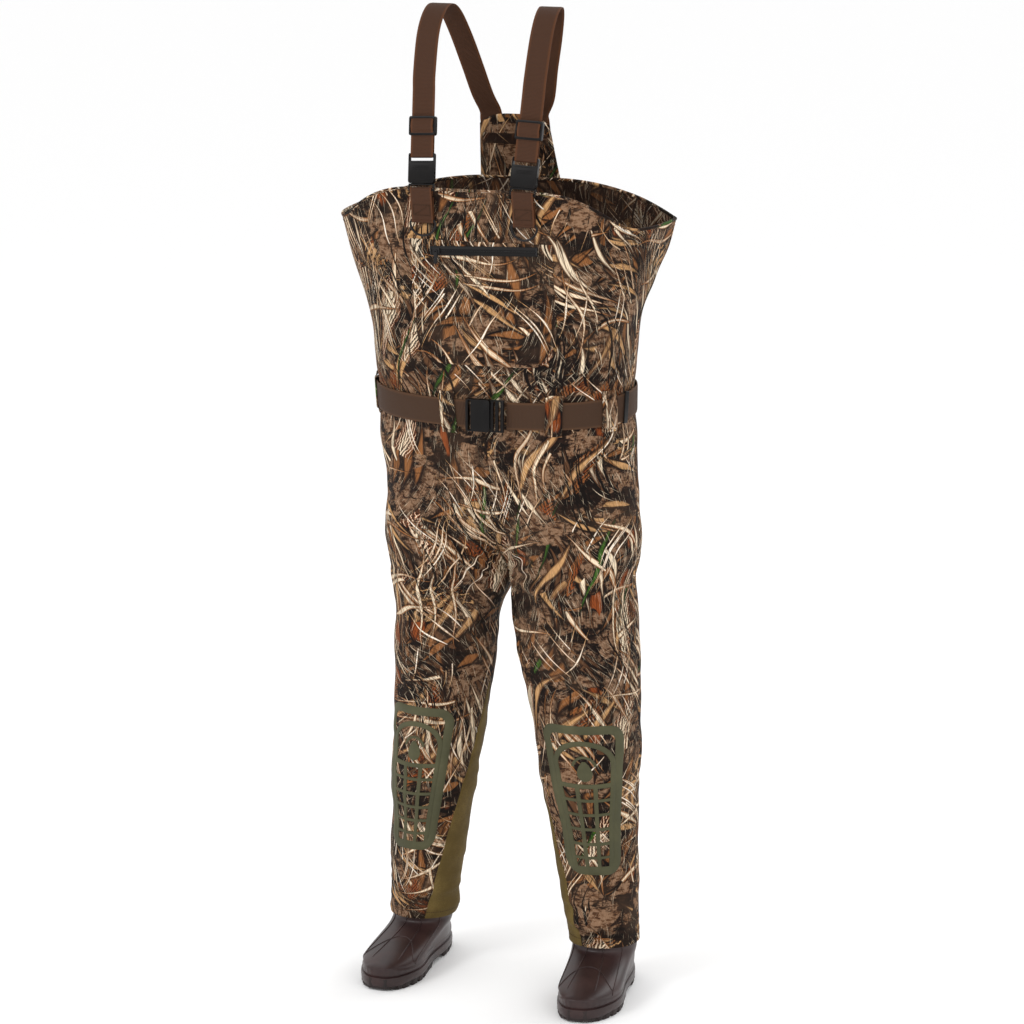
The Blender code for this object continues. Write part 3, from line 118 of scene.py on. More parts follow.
# ---- Curves and the shell's surface -------------------------------------------------------------
def smooth(t):
    t = np.clip(t, 0.0, 1.0)
    return t * t * (3 - 2 * t)


def hump(distance, reach):
    """1 at no distance, falling to nothing over a few reaches."""
    return np.exp(-((distance / reach) ** 2))


def through(stations, at):
    """Smooth values at the given heights, through (height, value) stations."""
    heights, values = np.array(stations, float).T
    slopes = np.gradient(values, heights)
    at = np.clip(at, heights[0], heights[-1])
    i = np.clip(np.searchsorted(heights, at, side="right") - 1, 0, len(heights) - 2)
    span = heights[i + 1] - heights[i]
    t = (at - heights[i]) / span
    return ((2 * t**3 - 3 * t**2 + 1) * values[i] + (t**3 - 2 * t**2 + t) * slopes[i] * span
            + (3 * t**2 - 2 * t**3) * values[i + 1] + (t**3 - t**2) * slopes[i + 1] * span)


def signed_power(value, power):
    return np.sign(value) * np.abs(value) ** power


def torso_flat(share, z):
    turn = np.pi * share
    front = np.cos(turn) > 0
    square = np.where(front, through(FRONT_SQUARES, z), ROUND)
    depth = np.where(front, through(TORSO_FRONTS, z), through(TORSO_BACKS, z))
    x = through(TORSO_WIDTHS, z) * signed_power(np.sin(turn), 2 / square)
    y = through(TORSO_MIDDLES, z) - depth * signed_power(np.cos(turn), 2 / square)
    return np.stack([x, y], axis=-1)


def leg_flat(sign, share, z):
    down = np.maximum((CROTCH_Z - z) / (CROTCH_Z - ANKLE_Z), 0.0)
    ankle_x, ankle_y, calf, thigh = (np.where(sign > 0, *pair) for pair in zip(LEFT_LEG, RIGHT_LEG))
    x = HIP_X + (ankle_x - HIP_X) * down
    y = HIP_Y + (ankle_y - HIP_Y) * down
    full = calf + (thigh - calf) * smooth((z - CALF_Z) / (THIGH_Z - CALF_Z))
    half = through(LEG_WIDTHS, z) * (1 + (full - 1) * smooth((CROTCH_Z - z) / FULLNESS_FADE))
    half = half + THIGH_GROWTH * np.maximum(z - CROTCH_Z, 0.0)
    start = np.where(z > CROTCH_Z, -np.arcsin(np.minimum(1.0, x / half)), -np.pi / 2)
    turn = np.pi / 2 + (2 * share - 1) * (np.pi / 2 - start)
    return np.stack([x + half * np.sin(turn), y - half * np.cos(turn)], axis=-1)


def shell_point(sign, share, z):
    sign, share, z = np.broadcast_arrays(np.asarray(sign, float), share, z)
    joined = smooth((z - CROTCH_Z) / CROTCH_BLEND)[..., None]
    flat = (1 - joined) * leg_flat(sign, share, z) + joined * torso_flat(share, z)
    return np.stack([sign * flat[..., 0], flat[..., 1] + SHIFT_Y, z], axis=-1)


def shell_normal(sign, share, z):
    step = 1e-3
    round_it = shell_point(sign, share + step, z) - shell_point(sign, share - step, z)
    up = shell_point(sign, share, z + step) - shell_point(sign, share, z - step)
    normal = np.cross(round_it, up) * np.asarray(sign, float)[..., None]
    return normal / np.linalg.norm(normal, axis=-1, keepdims=True)


def wander(points, scale, seed):
    """Smooth noise from -1 to 1 at each point, stretched by a scale on each axis."""
    flat = np.asarray(points).reshape(-1, 3) * scale + seed
    values = [noise.noise(Vector(p)) for p in flat]
    return np.array(values).reshape(np.asarray(points).shape[:-1])


def folds(points):
    """How far the fabric stands out from the even shell, in metres, at each point of it."""
    x, y, z = points[..., 0], points[..., 1], points[..., 2]
    torso = smooth((z - 0.74) / 0.16)
    chest = smooth((z - 1.06) / 0.10) * smooth(-(y + 0.03) / 0.05)
    leg_folds = 0.0042 * wander(points, (8, 8, 14), 3.1)
    leg_folds += 0.0022 * wander(points, (13, 13, 34), 7.7)
    ankle = 0.0075 * wander(points, (9, 9, 52), 1.3) * hump(z - 0.135, 0.055)
    knee = 0.0035 * wander(points, (7, 7, 46), 5.9) * hump(z - 0.365, 0.060)
    knee = knee * smooth((y - 0.01) / 0.05)
    torso_folds = 0.0050 * wander(points, (6, 6, 9), 2.4)
    torso_folds += 0.0022 * wander(points, (14, 14, 26), 8.2)
    torso_folds *= 1 - 0.75 * chest
    belt_z = BELT_FRONT_Z + (BELT_BACK_Z - BELT_FRONT_Z) * smooth((y + 0.13) / 0.24)
    near_belt = hump(z - belt_z, 0.042)
    puckers = -0.0055 * np.abs(wander(points, (34, 34, 9), 4.4)) * near_belt
    puckers -= 0.0012 * near_belt
    swell = 0.0030 * (hump(z - belt_z - 0.070, 0.030) + hump(z - belt_z + 0.070, 0.032))
    swell = swell * (1 - chest)
    away = np.hypot(x, z - 0.735)
    rays = np.sin(11 * np.arctan2(z - 0.735, np.abs(x) + 1e-6) + 5 * wander(points, (5, 5, 5), 9.0))
    crotch = 0.0040 * rays * hump(away - 0.06, 0.055)
    out = (1 - torso) * (leg_folds + ankle + knee) + torso * torso_folds * (1 - near_belt)
    lowest = -0.009 + 0.0075 * smooth((0.225 - z) / 0.03)  # clear of the boot's shaft inside the leg
    return np.clip(out + puckers + swell + crotch, lowest, 0.007)


def skin(sign, share, z, outward=0.0):
    """Points at a distance outside the folded fabric."""
    sign, share, z = np.broadcast_arrays(np.asarray(sign, float), share, z)
    base = shell_point(sign, share, z)
    return base + (outward + folds(base))[..., None] * shell_normal(sign, share, z)


def depth_at(x, z, square):
    """The share of the torso's depth that is left this far aside."""
    across = np.minimum(1.0, np.abs(x) / through(TORSO_WIDTHS, z))
    return (1 - across**square) ** (1 / square)


def front_y(x, z):
    reach = through(TORSO_FRONTS, z) * depth_at(x, z, through(FRONT_SQUARES, z))
    return SHIFT_Y + through(TORSO_MIDDLES, z) - reach


def back_y(x, z):
    return SHIFT_Y + through(TORSO_MIDDLES, z) + through(TORSO_BACKS, z) * depth_at(x, z, ROUND)


def rim_z(share):
    front = FRONT_RIM_Z - (FRONT_RIM_Z - SIDE_RIM_Z) * smooth((share - 0.06) / 0.28)
    back = BACK_RIM_Z - (BACK_RIM_Z - SIDE_RIM_Z) * smooth((0.95 - share) / 0.40)
    return np.where(share < 0.5, front, back)


def share_at_x(x, z):
    square = through(FRONT_SQUARES, z)
    return np.arcsin((np.abs(x) / through(TORSO_WIDTHS, z)) ** (square / 2)) / np.pi


def belt_z(share):
    return BELT_FRONT_Z + (BELT_BACK_Z - BELT_FRONT_Z) * (1 - np.cos(np.pi * share)) / 2


def curve_through(points, per_span):
    points = np.array(points, float)
    slopes = np.gradient(points, axis=0)
    t = np.linspace(0, 1, per_span, endpoint=False)[:, None]
    spans = [(2 * t**3 - 3 * t**2 + 1) * points[i] + (t**3 - 2 * t**2 + t) * slopes[i]
             + (3 * t**2 - 2 * t**3) * points[i + 1] + (t**3 - t**2) * slopes[i + 1]
             for i in range(len(points) - 1)]
    return np.concatenate(spans + [points[-1:]])


# ---- Nodes --------------------------------------------------------------------------------------
def srgb(red, green, blue):
    """A linear colour from 0-255 display values."""
    values = [v / 255 for v in (red, green, blue)]
    return tuple(v / 12.92 if v <= 0.04045 else ((v + 0.055) / 1.055) ** 2.4 for v in values) + (1.0,)


def put(tree, kind, inputs=None, **settings):
    """A new shader node with its settings and inputs, which are numbers or other nodes' sockets."""
    made = tree.nodes.new("ShaderNode" + kind)
    for key, value in settings.items():
        setattr(made, key, value)
    for key, value in (inputs or {}).items():
        if isinstance(value, bpy.types.NodeSocket):
            tree.links.new(value, made.inputs[key])
        else:
            made.inputs[key].default_value = value
    return made


def maths(tree, operation, a, b=0.0, c=0.5, clamp=False):
    return put(tree, "Math", {0: a, 1: b, 2: c}, operation=operation, use_clamp=clamp).outputs[0]


def times(tree, a, b, clamp=False):
    return maths(tree, "MULTIPLY", a, b, clamp=clamp)


def vector(tree, operation, a, b=(0, 0, 0), output=0):
    return put(tree, "VectorMath", {0: a, 1: b}, operation=operation).outputs[output]


def spread(tree, value, low, high):
    """0 at low, 1 at high, and smooth between them."""
    inputs = {"Value": value, "From Min": low, "From Max": high}
    return put(tree, "MapRange", inputs, interpolation_type="SMOOTHSTEP").outputs[0]


def mix(tree, share, a, b):
    return put(tree, "Mix", {0: share, 6: a, 7: b}, data_type="RGBA").outputs[2]


def cloud(tree, place, scale, detail, roughness, dimensions="2D"):
    """Noise: its value, and its colour on the same node."""
    inputs = {"Vector": place, "Scale": scale, "Detail": detail, "Roughness": roughness}
    return put(tree, "TexNoise", inputs, noise_dimensions=dimensions).outputs[0]


def placed(tree, place, scale=(1, 1, 1), turn=0.0, shift=(0, 0, 0)):
    """A place turned by an angle and then measured in units of scale."""
    inputs = {"Vector": place, "Scale": scale, "Location": shift,
              "Rotation": (0, 0, math.radians(turn))}
    return put(tree, "Mapping", inputs, vector_type="TEXTURE").outputs[0]


def material(name, roughness, **sockets):
    made = bpy.data.materials.new(name)
    made.use_nodes = True
    tree = made.node_tree
    shader = tree.nodes["Principled BSDF"]
    shader.inputs["Roughness"].default_value = roughness
    for key, value in sockets.items():
        shader.inputs[key.replace("_", " ")].default_value = value
    return made, tree, shader


def bump(tree, shader, height, distance, strength=1.0, below=None):
    inputs = {"Height": height, "Distance": distance, "Strength": strength}
    if below is not None:
        inputs["Normal"] = below
    made = put(tree, "Bump", inputs)
    tree.links.new(made.outputs[0], shader.inputs["Normal"])
    return made.outputs[0]


# ---- The reed print -----------------------------------------------------------------------------
TAUPE, BARK, DARK, SOOT = srgb(142, 112, 88), srgb(94, 64, 43), srgb(42, 27, 20), srgb(20, 13, 10)
CREAM, STRAW, TAN, RUST = srgb(242, 222, 192), srgb(196, 152, 104), srgb(144, 95, 56), srgb(140, 72, 34)
BLADE, MOSS, WHITE = srgb(64, 98, 36), srgb(34, 46, 22), srgb(248, 240, 226)


def reeds(tree, under, place, turn, length, width, share, light, deep, reach, metric="MANHATTAN"):
    """One layer of long leaves with a dark edge, on top of the colour that is under it.

    The turn is an angle in degrees, or a striped figure: a rolled leaf or a seed head.
    """
    figure, turn = turn, {"curl": 20, "plume": 74}.get(turn, turn)
    at = placed(tree, place, (length, width, 1), turn, (0.37 * turn, 0.21 * turn, 0))
    cells = put(tree, "TexVoronoi", {"Vector": at, "Scale": 1.0}, voronoi_dimensions="2D",
                distance=metric)
    chance = put(tree, "SeparateColor", {0: cells.outputs["Color"]})
    there = maths(tree, "LESS_THAN", chance.outputs[0], share)
    far = cells.outputs["Distance"]
    fibres = cloud(tree, placed(tree, place, (length * 0.5, width * 0.12, 1), turn), 1.0, 2.0, 0.6)
    tone = maths(tree, "MULTIPLY_ADD", fibres, 0.9, -0.1)
    tone = maths(tree, "ADD", tone, times(tree, chance.outputs[1], 0.45), clamp=True)
    tone = times(tree, tone, spread(tree, far, reach, reach * 0.35), True)
    leaf = mix(tree, spread(tree, tone, 0.12, 0.62), deep, light)
    if figure != turn:
        local = vector(tree, "SUBTRACT", at, cells.outputs["Position"])
        if figure == "plume":
            parts = put(tree, "SeparateXYZ", {0: local})
            aside = maths(tree, "ABSOLUTE", parts.outputs[1])
            run = maths(tree, "ADD", times(tree, parts.outputs[0], 9.0), times(tree, aside, -9.0))
        else:
            aside = vector(tree, "SUBTRACT", local, (0.22, -0.30, 0))
            run = times(tree, vector(tree, "LENGTH", aside, output=1), 7.0)
        rough = cloud(tree, placed(tree, place, (length, width, 1)), 7.0, 3.0, 0.7)
        run = maths(tree, "ADD", run, times(tree, rough, 1.3))
        stripe = maths(tree, "PINGPONG", run, 0.5)
        leaf = mix(tree, spread(tree, stripe, 0.10, 0.34), SOOT, leaf)
        leaf = mix(tree, spread(tree, stripe, 0.36, 0.48), leaf, light)
        there = times(tree, there, spread(tree, stripe, 0.05, 0.20))
    dim = times(tree, times(tree, there, spread(tree, far, reach * 1.5, reach)), 0.75)
    shaded = mix(tree, dim, under, SOOT)
    return mix(tree, times(tree, there, spread(tree, far, reach, reach * 0.93)), shaded, leaf)


def reed_print():
    """A node group: the printed marsh scene at a place on the cloth, in metres."""
    tree = bpy.data.node_groups.new("reed_print", "ShaderNodeTree")
    tree.interface.new_socket("Place", in_out="INPUT", socket_type="NodeSocketVector")
    tree.interface.new_socket("Color", in_out="OUTPUT", socket_type="NodeSocketColor")
    place = tree.nodes.new("NodeGroupInput").outputs[0]
    drift = cloud(tree, place, 4.5, 1.0, 0.5).node.outputs["Color"]
    clumps = []
    for k in range(3):
        at = placed(tree, place, shift=(3.7 * k, 1.9 * k, 0))
        clumps.append(spread(tree, cloud(tree, at, 5.5, 1.0, 0.5), 0.34, 0.60))
    offset = vector(tree, "SUBTRACT", drift, (0.5, 0.5, 0.5))
    bend = put(tree, "VectorMath", {0: offset, "Scale": 0.12}, operation="SCALE").outputs[0]
    bent = vector(tree, "ADD", place, bend)
    grain = cloud(tree, placed(tree, place, (1.0, 0.45, 1)), 60.0, 8.0, 0.72)
    patches = cloud(tree, placed(tree, place, (1.0, 0.55, 1), 8), 10.0, 5.0, 0.66)
    colour = mix(tree, spread(tree, grain, 0.46, 0.56), TAUPE, BARK)
    colour = mix(tree, spread(tree, grain, 0.57, 0.64), colour, DARK)
    burnt = mix(tree, spread(tree, grain, 0.40, 0.60), DARK, SOOT)
    colour = mix(tree, spread(tree, patches, 0.50, 0.56), colour, burnt)
    crack = cloud(tree, placed(tree, place, (0.35, 1.6, 1), -10), 30.0, 5.0, 0.7)
    colour = mix(tree, spread(tree, crack, 0.59, 0.66), colour, SOOT)
    layers = (  # turn, length, width, share of the cells, light, deep, reach, metric
        (78, 0.150, 0.030, 0.36, TAN, DARK, 0.46),
        (-62, 0.130, 0.020, 0.34, BARK, SOOT, 0.46),
        (24, 0.110, 0.020, 0.26, TAN, SOOT, 0.46),
        (100, 0.074, 0.040, 0.08, RUST, SOOT, 0.40, "EUCLIDEAN"),
        ("plume", 0.105, 0.048, 0.20, RUST, TAN, 0.46),
        (-30, 0.150, 0.018, 0.20, STRAW, DARK, 0.45),
        ("curl", 0.130, 0.100, 0.19, STRAW, DARK, 0.45, "EUCLIDEAN"),
        (58, 0.190, 0.019, 0.15, STRAW, BARK, 0.44),
        (112, 0.170, 0.013, 0.17, CREAM, BARK, 0.44),
        ("plume", 0.190, 0.056, 0.13, CREAM, RUST, 0.46),
        (70, 0.220, 0.012, 0.07, BLADE, MOSS, 0.44),
        (-48, 0.190, 0.011, 0.14, CREAM, TAN, 0.42),
        (6, 0.210, 0.010, 0.10, CREAM, TAN, 0.42),
        (86, 0.260, 0.0065, 0.13, CREAM, TAN, 0.42),
        (60, 0.170, 0.0036, 0.08, WHITE, STRAW, 0.42),
        (128, 0.150, 0.0034, 0.07, WHITE, STRAW, 0.42),
        (-75, 0.240, 0.0050, 0.18, SOOT, SOOT, 0.40),
    )
    for k, (turn, length, width, share, *look) in enumerate(layers):
        chance = times(tree, clumps[k % 3], share * 1.5)
        colour = reeds(tree, colour, bent, turn, length, width, chance, *look)
    for k, turn in enumerate((66, -52, 100)):
        at = placed(tree, bent, (0.040, 0.0016, 1), turn)
        streak = spread(tree, cloud(tree, at, 1.0, 3.0, 0.6), 0.53, 0.62)
        colour = mix(tree, times(tree, times(tree, streak, clumps[k]), 0.60), colour, SOOT)
        elsewhere = placed(tree, at, (1.3, 0.8, 1), 0, (7, 3, 0))
        pale = spread(tree, cloud(tree, elsewhere, 1.0, 2.0, 0.6), 0.68, 0.74)
        colour = mix(tree, times(tree, times(tree, pale, clumps[k]), 0.75), colour, CREAM)
    colour = put(tree, "Gamma", {0: colour, 1: 1.05}).outputs[0]
    end = tree.nodes.new("NodeGroupOutput")
    tree.links.new(colour, end.inputs[0])
    return tree


REED_PRINT = reed_print()


def bands(tree, place, pitch, direction, distortion=0.0):
    """Soft stripes a pitch apart."""
    inputs = {"Vector": place, "Scale": 1 / pitch / 20 * math.tau, "Distortion": distortion}
    return put(tree, "TexWave", inputs, bands_direction=direction).outputs["Color"]


def weave(tree, place, pitch):
    """The height of a plain weave: threads each way, a pitch apart."""
    return times(tree, bands(tree, place, pitch, "X"), bands(tree, place, pitch, "Y"))


def camo_cloth(name, shift, dim=0.0):
    """Brushed polyester with the reed print, from another stretch of the roll for each shift; dim mixes it
    towards DARK as painted shade.
    """
    made, tree, shader = material(name, 0.82, Specular_IOR_Level=0.12)
    uv = put(tree, "UVMap").outputs[0]
    printed = put(tree, "Group", node_tree=REED_PRINT)
    tree.links.new(vector(tree, "ADD", uv, shift), printed.inputs[0])
    worn = cloud(tree, uv, 9.0, 3.0, 0.6)
    faded = mix(tree, times(tree, spread(tree, worn, 0.45, 0.75), 0.10), printed.outputs[0], TAUPE)
    # dim darkens the print towards DARK: painted shade for cloth seen on the inside of the shell
    tree.links.new(mix(tree, dim, faded, DARK), shader.inputs["Base Color"])
    tree.links.new(maths(tree, "MULTIPLY_ADD", worn, 0.16, 0.72), shader.inputs["Roughness"])
    crumple = bump(tree, shader, cloud(tree, uv, 38.0, 3.0, 0.55), 0.0022, 0.5)
    bump(tree, shader, weave(tree, uv, 0.0011), 0.0002, 0.6, crumple)
    return made


def plain_cloth(name, light, deep, pitch=0.0012):
    made, tree, shader = material(name, 0.80, Specular_IOR_Level=0.15)
    uv = put(tree, "UVMap").outputs[0]
    mottle = cloud(tree, uv, 14.0, 4.0, 0.6)
    fibre = cloud(tree, uv, 420.0, 2.0, 0.6)
    tone = maths(tree, "ADD", times(tree, mottle, 0.7), times(tree, fibre, 0.3))
    tree.links.new(mix(tree, spread(tree, tone, 0.35, 0.68), deep, light), shader.inputs["Base Color"])
    crumple = bump(tree, shader, cloud(tree, uv, 30.0, 3.0, 0.55), 0.0026, 0.6)
    bump(tree, shader, weave(tree, uv, pitch), 0.0002, 0.7, crumple)
    return made


def webbing_cloth(name, width, middle, edge, deep):
    """Ribbed webbing: u runs across from its middle, v along it."""
    made, tree, shader = material(name, 0.62, Specular_IOR_Level=0.18)
    uv = put(tree, "UVMap").outputs[0]
    parts = put(tree, "SeparateXYZ", {0: uv})
    aside = maths(tree, "ABSOLUTE", parts.outputs[0])
    rim = spread(tree, aside, width * 0.5 - 0.0050, width * 0.5 - 0.0012)
    ribs = bands(tree, uv, 0.0021, "Y", 0.4)
    twill = bands(tree, uv, 0.0016, "DIAGONAL", 0.2)
    fleck = cloud(tree, uv, 500.0, 2.0, 0.6)
    body = mix(tree, times(tree, ribs, 0.65), middle, deep)
    body = mix(tree, times(tree, fleck, 0.35), body, edge)
    tree.links.new(mix(tree, times(tree, rim, 0.75), body, edge), shader.inputs["Base Color"])
    low = bump(tree, shader, ribs, 0.0005, 0.8)
    bump(tree, shader, twill, 0.0002, 0.5, low)
    return made


def moulded(name, light, deep, roughness, grain=900.0, depth=0.0001, metallic=0.0, coat=0.0,
            shine=0.32):
    """Plastic, rubber or painted metal with a fine grain and a slightly uneven colour."""
    made, tree, shader = material(name, roughness, Metallic=metallic, Coat_Weight=coat,
                                  Coat_Roughness=0.35, Specular_IOR_Level=shine)
    at = put(tree, "TexCoord").outputs["Object"]
    patch = cloud(tree, at, 18.0, 4.0, 0.6, "3D")
    fine = cloud(tree, at, grain, 2.0, 0.6, "3D")
    tree.links.new(mix(tree, spread(tree, patch, 0.35, 0.70), deep, light), shader.inputs["Base Color"])
    rough = maths(tree, "MULTIPLY_ADD", patch, 0.22, roughness - 0.11)
    tree.links.new(rough, shader.inputs["Roughness"])
    bump(tree, shader, fine, depth, 0.6)
    return made


LOOKS = {
    "torso_front": camo_cloth("camo_front", (0.13, 0.31, 0)),
    "torso_back": camo_cloth("camo_back", (5.10, 2.20, 0)),
    "pocket": camo_cloth("camo_pocket", (2.30, 9.40, 0)),
    "yoke": camo_cloth("camo_yoke", (2.84, 11.20, 0)),
    "loops": camo_cloth("camo_loops", (21.50, 1.90, 0)),
    "lining": plain_cloth("lining_cloth", srgb(60, 50, 35), srgb(38, 31, 21)),
    # the inside of the back and the yoke band: the camo print darkened as painted shade
    "inside": camo_cloth("camo_inside_painted_shade", (26.30, 5.50, 0), 0.62),
    "olive": plain_cloth("olive_cloth", srgb(108, 90, 50), srgb(86, 70, 36)),
    "webbing": webbing_cloth("webbing_brown", WEB_WIDTH, srgb(66, 41, 26), srgb(92, 54, 29),
                             srgb(42, 26, 17)),
    "belt": webbing_cloth("webbing_belt", BELT_HEIGHT, srgb(66, 45, 31), srgb(84, 57, 37),
                          srgb(44, 30, 20)),
    "thread": plain_cloth("thread", srgb(70, 52, 36), srgb(46, 33, 23), 0.0004),
    "grip": moulded("knee_grip_rubber", srgb(78, 76, 51), srgb(65, 64, 41), 0.66, 1400, 0.00012),
    "boot": moulded("boot_rubber", srgb(56, 37, 35), srgb(42, 27, 26), 0.40, 700, 0.00010, 0.0, 0.10),
    "sole": moulded("sole_rubber", srgb(48, 37, 35), srgb(32, 24, 23), 0.62, 500, 0.00025),
    "felt": moulded("insole_felt", srgb(78, 76, 74), srgb(58, 56, 54), 0.95, 1500, 0.0005),
    "plastic": moulded("buckle_plastic", srgb(20, 17, 16), srgb(12, 10, 10), 0.40, 1100, 0.00008,
                       shine=0.16),
    "zip": moulded("zip_tape", srgb(18, 15, 15), srgb(10, 9, 9), 0.46, 1600, 0.00012, shine=0.16),
    "teeth": moulded("zip_teeth", srgb(40, 38, 38), srgb(26, 25, 26), 0.35),
    "slider": moulded("slider_metal", srgb(48, 46, 46), srgb(30, 29, 30), 0.34, 900, 0.00005, 0.6),
    "ring": moulded("ring_steel", srgb(44, 42, 42), srgb(28, 27, 27), 0.34, 600, 0.00004, 0.7),
}


# ---- Mesh helpers -------------------------------------------------------------------------------
def add_mesh(name, points, faces, looks, uvs, slots=None):
    mesh = bpy.data.meshes.new(name)
    mesh.from_pydata(np.asarray(points, float).tolist(), [], [tuple(int(i) for i in f) for f in faces])
    layer = mesh.uv_layers.new(name="UVMap")
    corners = np.empty(len(mesh.loops), np.int32)
    mesh.loops.foreach_get("vertex_index", corners)
    layer.data.foreach_set("uv", np.asarray(uvs, np.float32)[corners].ravel())
    for look in looks:
        mesh.materials.append(LOOKS[look])
    if slots is not None:
        mesh.polygons.foreach_set("material_index", np.asarray(slots, np.int32))
    work = bmesh.new()
    work.from_mesh(mesh)
    bmesh.ops.recalc_face_normals(work, faces=work.faces)
    work.to_mesh(mesh)
    work.free()
    mesh.shade_smooth()
    mesh.set_sharp_from_angle(angle=math.radians(50))
    obj = bpy.data.objects.new(name, mesh)
    bpy.context.scene.collection.objects.link(obj)
    return obj


def grid_quads(rows, columns, first=0, wrap=False):
    """The faces of a grid of points, each a row of four point numbers."""
    i, j = np.meshgrid(np.arange(rows - 1), np.arange(columns if wrap else columns - 1), indexing="ij")
    k = (j + 1) % columns
    low, high = i * columns, (i + 1) * columns
    quads = np.stack([low + j, low + k, high + k, high + j], -1)
    return (quads.reshape(-1, 4) + first).tolist()


def slab(outer, inner):
    """The points and faces of a closed sheet between two grids: its front, its back, its edges."""
    rows, columns = outer.shape[:2]
    count = rows * columns
    faces = grid_quads(rows, columns) + [q[::-1] for q in grid_quads(rows, columns, count)]
    places = np.arange(count).reshape(rows, columns)
    edge = [*places[0], *places[1:, -1], *places[-1, -2::-1], *places[-2:0:-1, 0]]
    faces += [(a, a + count, b + count, b) for a, b in zip(edge, edge[1:] + edge[:1])]
    return np.concatenate([outer.reshape(-1, 3), inner.reshape(-1, 3)]), faces


def add_sheet(name, outer, inner, uv, looks):
    """A closed sheet between two grids; its back takes the last look."""
    points, faces = slab(outer, inner)
    front = (outer.shape[0] - 1) * (outer.shape[1] - 1)
    slots = [0] * front + [len(looks) - 1] * front + [0] * (len(faces) - 2 * front)
    return add_mesh(name, points, faces, looks, np.tile(uv.reshape(-1, 2), (2, 1)), slots)


def run_along(line):
    """How far along the line each of its points is, in metres."""
    return np.concatenate([[0], np.cumsum(np.linalg.norm(np.diff(line, axis=0), axis=1))])


def sweep(sections, uvs, closed=False):
    """A (points, faces, uvs) part from rings of points, with its ends capped or joined."""
    rows, sides = sections.shape[:2]
    faces, last = grid_quads(rows, sides, wrap=True), (rows - 1) * sides
    if closed:
        faces += [(last + j, last + (j + 1) % sides, (j + 1) % sides, j) for j in range(sides)]
    else:
        faces += [tuple(range(sides)), tuple(range(last + sides - 1, last - 1, -1))]
    return sections.reshape(-1, 3), faces, uvs


def tube(line, radius, sides=8, closed=False, up=(0, 0, 1.0)):
    """A round rod along a line."""
    line = np.asarray(line, float)
    along = np.roll(line, -1, 0) - np.roll(line, 1, 0) if closed else np.gradient(line, axis=0)
    along /= np.linalg.norm(along, axis=1)[:, None]
    aside = np.cross(along, np.broadcast_to(up, line.shape))
    aside /= np.linalg.norm(aside, axis=1)[:, None] + 1e-12
    normal = np.cross(aside, along)
    turns = np.linspace(0, math.tau, sides, endpoint=False)
    radius = np.broadcast_to(radius, len(line))[:, None, None]
    ring = (np.cos(turns)[None, :, None] * aside[:, None]
            + np.sin(turns)[None, :, None] * normal[:, None])
    uvs = np.stack([np.tile(turns * 0.002, len(line)), np.repeat(run_along(line), sides)], -1)
    return sweep(line[:, None] + radius * ring, uvs, closed)


def settle(obj, body, slot, *nodes):
    """The piece rides a body and stands for the CAD nodes, which it hides; slot is not used."""
    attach(obj, body)
    if nodes:
        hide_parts(*nodes)


def joined(name, parts, look, body, slot, *nodes):
    """One settled piece from several (points, faces, uvs) parts."""
    faces, first = [], 0
    for points, part_faces, _ in parts:
        faces += [tuple(i + first for i in f) for f in part_faces]
        first += len(points)
    points, uvs = (np.concatenate([part[k] for part in parts]) for k in (0, 2))
    settle(add_mesh(name, points, faces, (look,), uvs), body, slot, *nodes)


def stitched(name, parts, slot="camo_fabric"):
    """Thread that rides the shell."""
    joined(name, parts, "thread", "shell", slot)


def stitches(line, normals, pitch=0.0040, length=0.0028, radius=0.00035):
    """Thread showing on top of the cloth along a line, as parts for a joined piece."""
    line = np.asarray(line, float)
    normals = np.broadcast_to(normals, line.shape)
    run, parts = run_along(line), []
    for start in np.arange(pitch / 2, run[-1] - length, pitch):
        at = start + length * np.array([0, 0.25, 0.5, 0.75, 1.0])
        middle = np.stack([np.interp(at, run, line[:, k]) for k in range(3)], -1)
        out = np.stack([np.interp(at, run, normals[:, k]) for k in range(3)], -1)
        middle = middle + out * (radius * np.array([-0.8, 0.5, 0.8, 0.5, -0.8]))[:, None]
        parts.append(tube(middle, radius, 5, up=out))
    return parts


def crossed_box(half, low, high):
    """The corners of a sewn box, (across, up), with one diagonal at the end."""
    return [(-half, low), (half, low), (half, high), (-half, high), (-half, low), (half, high)]


def boxed(corners):
    """A dense line through the corners."""
    return np.concatenate([np.linspace(a, b, 12, endpoint=False) for a, b in zip(corners, corners[1:])])


# ---- Shell panels -------------------------------------------------------------------------------
SEAM_SINK, SEAM_REACH = 0.0012, 0.0030


def shell_sheet(name, sign, share, z, uv, looks, sink=None):
    """A fabric panel on the folded shell; sink is how far each point is pulled in at a seam."""
    pulled = 0.0 if sink is None else -sink
    outer = skin(sign, share, z, pulled)
    inner = outer - 0.0030 * shell_normal(sign, share, z)
    return add_sheet(name, outer, inner, uv, looks)


def round_length(sign, share, z, start):
    """Metres of cloth along each row, from the column start."""
    base = shell_point(sign, share, z)
    steps = np.linalg.norm(np.diff(base, axis=1), axis=2)
    length = np.concatenate([np.zeros((len(z), 1)), np.cumsum(steps, axis=1)], axis=1)
    return length - length[:, start][:, None]


